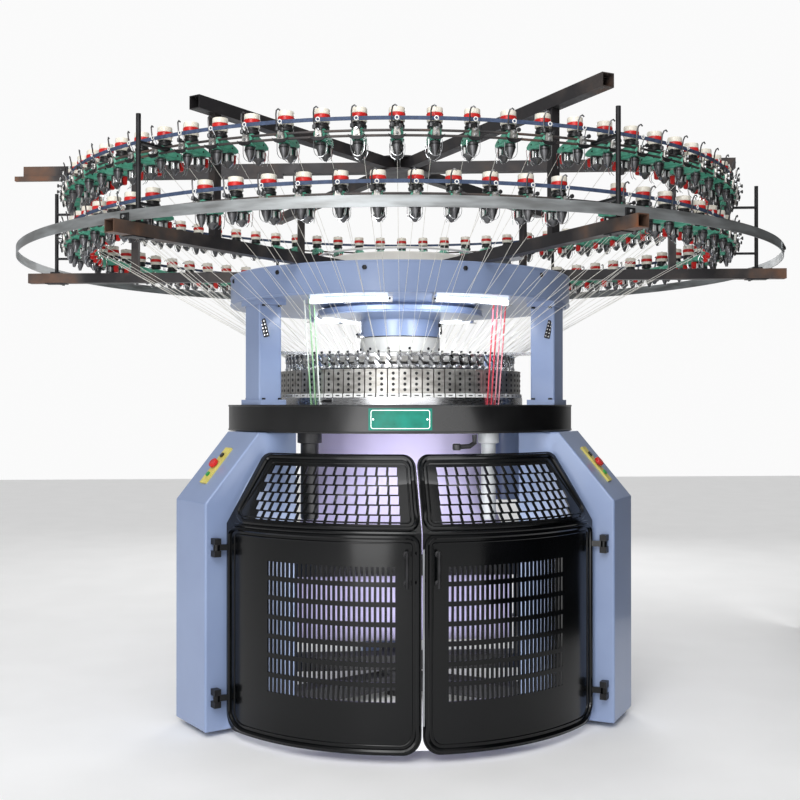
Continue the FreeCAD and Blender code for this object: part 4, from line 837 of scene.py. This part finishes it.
WEB_HALF = 0.486
ROLL_SIDES = 72
ROLL_RINGS = 48
ROLL_CORE = 0.018
ROLL_TURNS = 14
TURN_POINTS = 240
AXLE = 0.0149
TUBE = (                                    # height, half width, half depth, depth of the folds
    (1.362, 0.3990, 0.3990, 0.0), (1.330, 0.3940, 0.3940, 0.0), (1.291, 0.3700, 0.3700, 0.001),
    (1.200, 0.3640, 0.3640, 0.002), (1.125, 0.3590, 0.3590, 0.003), (1.040, 0.3600, 0.3530, 0.005),
    (0.960, 0.3620, 0.3450, 0.007), (0.900, 0.3660, 0.3370, 0.009), (0.840, 0.3850, 0.2950, 0.010),
    (0.780, 0.4080, 0.2500, 0.010), (0.720, 0.4350, 0.1700, 0.009), (0.665, 0.4620, 0.0850, 0.006),
    (0.620, 0.4830, 0.0120, 0.002), (0.590, WEB_HALF, 0.0014, 0.0), (0.500, WEB_HALF, 0.0012, 0.0),
    (0.400, WEB_HALF, 0.0012, 0.0), (0.304, WEB_HALF, 0.0012, 0.0),
)


def make_tube():
    """Knitted tube: round at the cylinder, folded and flattened towards the nip, then a flat web."""
    s = Shape()
    s.loft([ellipse_ring(a, b, z, folds=f) for z, a, b, f in TUBE], "knit", capped=False)
    tube = s.piece("knitted_tube", "takedown", sharp=80, subdivide=1)
    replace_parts(tube, "fabric_tube")


def make_roll():
    """Wound cloth with its spiral ends, on its axle."""
    low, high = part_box("cloth_roll")
    axis = (low + high) / 2
    wound = (high.z - low.z) / 2
    half = WEB_HALF
    s = Shape()
    rings = []
    for k in range(ROLL_RINGS + 1):
        x = -half + 2 * half * k / ROLL_RINGS
        swell = 0.0012 * math.sin(k * 2.1) + 0.0008 * math.sin(k * 5.3)
        radius = wound - 0.004 + swell - (0.004 if k in (0, ROLL_RINGS) else 0)
        rings.append([(x, axis.y + u, axis.z + v) for u, v in circle(radius, ROLL_SIDES)])
    s.loft(rings, "knit", capped=False)
    for side in (-1, 1):
        turns = []
        for k in range(TURN_POINTS + 1):
            radius = ROLL_CORE + (wound - 0.022) * k / TURN_POINTS
            angle = TURN * ROLL_TURNS * k / TURN_POINTS
            turns.append((side * (half - 0.003), axis.y + radius * math.cos(angle),
                          axis.z + radius * math.sin(angle)))
        s.wire(turns, 0.0030, "knit", 4)
        disc = [[(side * (half - 0.004), axis.y + u, axis.z + v) for u, v in circle(r, ROLL_SIDES)]
                for r in (wound - 0.009, 0.016)]
        s.loft(disc, "knit", capped=False)
    reach = max(abs(low.x), abs(high.x))
    for start, end in ((-reach, -half + 0.01), (half - 0.01, reach)):
        s.loft([[(x, axis.y + u, axis.z + v) for u, v in circle(AXLE, 20)] for x in (start, end)], "steel")
    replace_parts(s.piece("wound_cloth", "roll"), "cloth_roll")


# ---- Bed, bay and head ----

BED_LOW, BED_TOP = heights("bed_ring")
BED_RADIUS = 0.724
HEAD_LOW, HEAD_TOP = heights("head_casting")
HEAD_RADIUS = 0.7165
COLUMN_AT = 0.655


def hoop(s, radius, z, thick, key, sides=96, tube=6):
    s.wire([polar(radius, 360 * k / sides, z) for k in range(sides)], thick, key, tube, closed=True)


def make_bed_details():
    """Beads of the bed band, the name plate's border and screws, window covers, and posts under the bed."""
    s = Shape()
    hoop(s, BED_RADIUS - 0.001, BED_TOP - 0.004, 0.004, "black", 144)
    hoop(s, BED_RADIUS - 0.001, BED_LOW + 0.004, 0.004, "black", 144)
    s.piece("bed_beads", "frame")
    low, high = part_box("name_plate")
    middle = (low + high) / 2
    turn = math.degrees(math.atan2(middle.x, -middle.y))
    half = math.hypot(high.x - low.x, high.y - low.y) / 2 - 0.010
    radius = max(math.hypot(low.x, low.y), math.hypot(high.x, low.y)) + 0.0002
    z_half = (high.z - low.z) / 2 - 0.007
    outline = rounded(oblong(-half, -z_half, half, z_half), [0.008] * 4, 0.02)
    s = Shape()
    s.wire([(x, -math.sqrt(radius * radius - x * x), middle.z + z) for x, z in outline], 0.0012, "white", 5,
           closed=True)
    for x in (-half + 0.008, half - 0.008):
        face = math.sqrt(radius * radius - x * x)
        s.lathe([(0.0035, face - 0.001), (0.0035, face + 0.0008), (0.002, face + 0.0014)], "chrome",
                (x, middle.z), 10, "Y")
    plate = Shape()
    plate.stamp(s, around(turn))
    plate.piece("plate_border", "frame")
    s = Shape()
    for azimuth in (-38, 44):
        cover = Shape()
        path = rounded(oblong(-0.029, BED_TOP + 0.004, 0.029, BED_TOP + 0.024), [0.004] * 4, 0.02)
        cover.wire([(x, -0.5195, z) for x, z in path], 0.0012, "steel", 5, closed=True)
        pane = oblong(-0.0235, BED_TOP + 0.0085, 0.0235, BED_TOP + 0.0195)
        cover.slab(pane, 0.5095, 0.5150, "dark", 0.001, "face")
        s.stamp(cover, around(azimuth))
    s.piece("cam_ring_windows", "frame")
    s = Shape()
    post = [(0.030, 0.80), (0.034, 0.806), (0.034, 1.085), (0.046, 1.088), (0.046, BED_LOW)]
    s.lathe(post, "oxide", tuple(polar(COLUMN_AT, -36).xy), 28)
    s.lathe([(r - 0.006, z) for r, z in post], "grey", tuple(polar(COLUMN_AT, 26).xy), 28)
    link = [polar(0.690, 19, 1.120), polar(0.690, 19, 1.090), polar(0.700, 17, 1.078),
            polar(0.705, 13, 1.076)]
    s.wire(link, 0.009, "oxide", 10)
    s.lathe([(0.013, 1.064), (0.016, 1.068), (0.016, 1.084), (0.012, 1.088)], "oxide",
            tuple(polar(0.705, 12.6).xy), 16)
    s.piece("bed_posts", "frame")


def make_bay_details():
    """Between bed and head: perforated strips, the hub's seams, bolts, bracket and hook, and lamp holders."""
    s = Shape()
    strip = Shape()
    strip.slab(oblong(-0.011, -0.036, 0.011, 0.036), 0, 0.003, "oxide", 0.0008, "face")
    for row in range(5):
        for column in (-0.0055, 0.0055):
            strip.lathe([(0.0035, 0.0025), (0.0035, 0.0042), (0.0022, 0.0046)], "chrome",
                        (column, -0.027 + 0.0135 * row), 8, "Y")
    for side in (-1, 1):
        turn = Matrix.Rotation(side * 14 * DEG, 4, "Y")
        s.stamp(strip, Matrix.Translation((side * 0.560, -0.395, 1.530)) @ turn)
    s.piece("perforated_strips", "frame")
    s = Shape()
    hoop(s, 0.1705, 1.5150, 0.0022, "dark", 64)
    hoop(s, 0.1700, 1.4530, 0.0030, "cream", 64)
    hoop(s, 0.1705, 1.5860, 0.0030, "blue", 64)
    hoop(s, 0.3500, 1.6070, 0.0050, "blue", 96)
    for azimuth in range(0, 360, 30):
        bolt = Shape()
        bolt.lathe([(0.0060, 0.1695), (0.0060, 0.1740), (0.0040, 0.1752)], "oxide", (0, 1.465), 8, "Y")
        s.stamp(bolt, around(azimuth + 9))
    bracket = [(-0.020, 1.512), (0.012, 1.512), (0.012, 1.520), (-0.008, 1.522), (-0.012, 1.534),
               (-0.024, 1.534)]
    hook = Shape()
    hook.slab(bracket, 0.166, 0.192, "steel", 0.001, "face")
    hook.lathe([(0.004, 0.192), (0.004, 0.197), (0.002, 0.198)], "oxide", (-0.018, 1.527), 8, "Y")
    s.stamp(hook, around(-68))
    hook = Shape()
    hook.slab(oblong(-0.004, 1.560, 0.022, 1.575), 0.160, 0.180, "oxide", 0.001, "face")
    hook.wire([(0.016, -0.176, 1.562), (0.018, -0.178, 1.545), (0.014, -0.178, 1.532), (0.006, -0.177, 1.530),
               (0.004, -0.176, 1.540)], 0.0030, "oxide", 6)
    s.stamp(hook, around(70))
    s.piece("hub_fittings", "frame")
    s = Shape()
    for azimuth in LAMPS:
        for offset in (-15.6, 0, 15.6):
            clip = Shape()
            clip.slab(oblong(-0.012, 1.615, 0.012, 1.641), 0.583, 0.5885, "steel", 0.001, "face")
            clip.slab(oblong(-0.012, 1.6155, 0.012, 1.618), 0.586, 0.6145, "steel", 0.0008, "face")
            clip.lathe([(0.004, 0.5885), (0.004, 0.5915), (0.002, 0.5925)], "oxide", (0, 1.631), 8, "Y")
            s.stamp(clip, around(azimuth + offset))
    s.piece("lamp_clips", "frame")


def make_head_details():
    """Rolled edges of the head drum, its bolts, and the gear cover's bead and screws."""
    s = Shape()
    hoop(s, HEAD_RADIUS - 0.002, HEAD_TOP - 0.0045, 0.0045, "blue", 144)
    hoop(s, HEAD_RADIUS - 0.002, HEAD_LOW + 0.0045, 0.0045, "blue", 144)
    for azimuth in range(15, 375, 30):
        bolt = Shape()
        bolt.lathe([(0.0095, HEAD_RADIUS - 0.001), (0.0095, HEAD_RADIUS + 0.004),
                    (0.0060, HEAD_RADIUS + 0.0058)], "oxide", (0, HEAD_LOW + 0.092), 6, "Y")
        s.stamp(bolt, around(azimuth))
    s.piece("head_beads", "frame")
    s = Shape()
    hoop(s, 0.3490, 1.8560, 0.0045, "cream", 96)
    for azimuth in range(0, 360, 30):
        screw = Shape()
        screw.lathe([(0.0055, 0.3490), (0.0055, 0.3530), (0.0030, 0.3540)], "oxide", (0, 1.790), 8, "Y")
        s.stamp(screw, around(azimuth))
    s.piece("cover_beads", "frame")
    low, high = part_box("speed_pulley")
    centre = (low + high) / 2
    s = Shape()
    for k in range(12):
        segment = Shape()
        segment.slab([(-0.021, 0.040), (0.021, 0.040), (0.0255, 0.103), (-0.0255, 0.103)], high.z - 0.0005,
                     high.z + 0.0035, "steel", 0.0012, "top")
        s.stamp(segment, Matrix.Translation((centre.x, centre.y, 0)) @ Matrix.Rotation(TURN * k / 12, 4, "Z"))
    s.lathe([(0.034, high.z), (0.034, high.z + 0.007), (0.028, high.z + 0.010), (0.016, high.z + 0.010)],
            "dark", (centre.x, centre.y), 24)
    s.piece("pulley_segments", "pulley")


# ---- Overhead ----

STRIP_RADIUS = 1.555
STRIP_LOW = heights("strip_ring")[0]
SPLICE_AT = 62
SADDLE = (1.455, 1.545)


def make_overhead_details():
    """Strip clamps and splice bolts, and the bolted plates under the outer posts."""
    s = Shape()
    for azimuth in ARMS:
        clamp = Shape()
        jaw = oblong(-0.018, STRIP_LOW - 0.001, 0.018, STRIP_LOW + 0.026)
        clamp.slab(jaw, STRIP_RADIUS + 0.0003, STRIP_RADIUS + 0.006, "oxide", 0.001, "face")
        clamp.lathe([(0.006, STRIP_RADIUS + 0.006), (0.006, STRIP_RADIUS + 0.010),
                     (0.004, STRIP_RADIUS + 0.0112)], "chrome", (0, STRIP_LOW + 0.014), 6, "Y")
        s.stamp(clamp, around(azimuth))
    for offset in (-1.6, -0.6, 0.6, 1.6):
        bolt = Shape()
        bolt.lathe([(0.006, STRIP_RADIUS + 0.003), (0.006, STRIP_RADIUS + 0.007),
                    (0.004, STRIP_RADIUS + 0.0082)], "oxide", (0, STRIP_LOW + 0.0175), 6, "Y")
        s.stamp(bolt, around(SPLICE_AT + offset))
    s.piece("strip_clamps", "frame")
    s = Shape()
    start, end = SADDLE
    for azimuth in ARMS:
        seat = Shape()
        seat.slab(oblong(-0.0225, start, 0.0225, end), STRIP_LOW - 0.0455, STRIP_LOW - 0.0415, "oxide",
                  0.001, "top")
        for across in (-0.014, 0.014):
            seat.lathe([(0.006, STRIP_LOW - 0.050), (0.006, STRIP_LOW - 0.045)], "gear",
                       (across, -start - 0.02), 6)
        s.stamp(seat, around(azimuth))
    s.piece("arm_saddles", "frame")


materials = make_materials()
add_camera()
add_world()
add_stage()
finish_nodes(materials)
make_feeders()
make_cam_details()
make_yarn_guides()
make_doors()
make_tube()
make_roll()
make_bed_details()
make_bay_details()
make_head_details()
make_overhead_details()
for bevelled, width in EDGES.items():
    soften(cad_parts[bevelled], width)
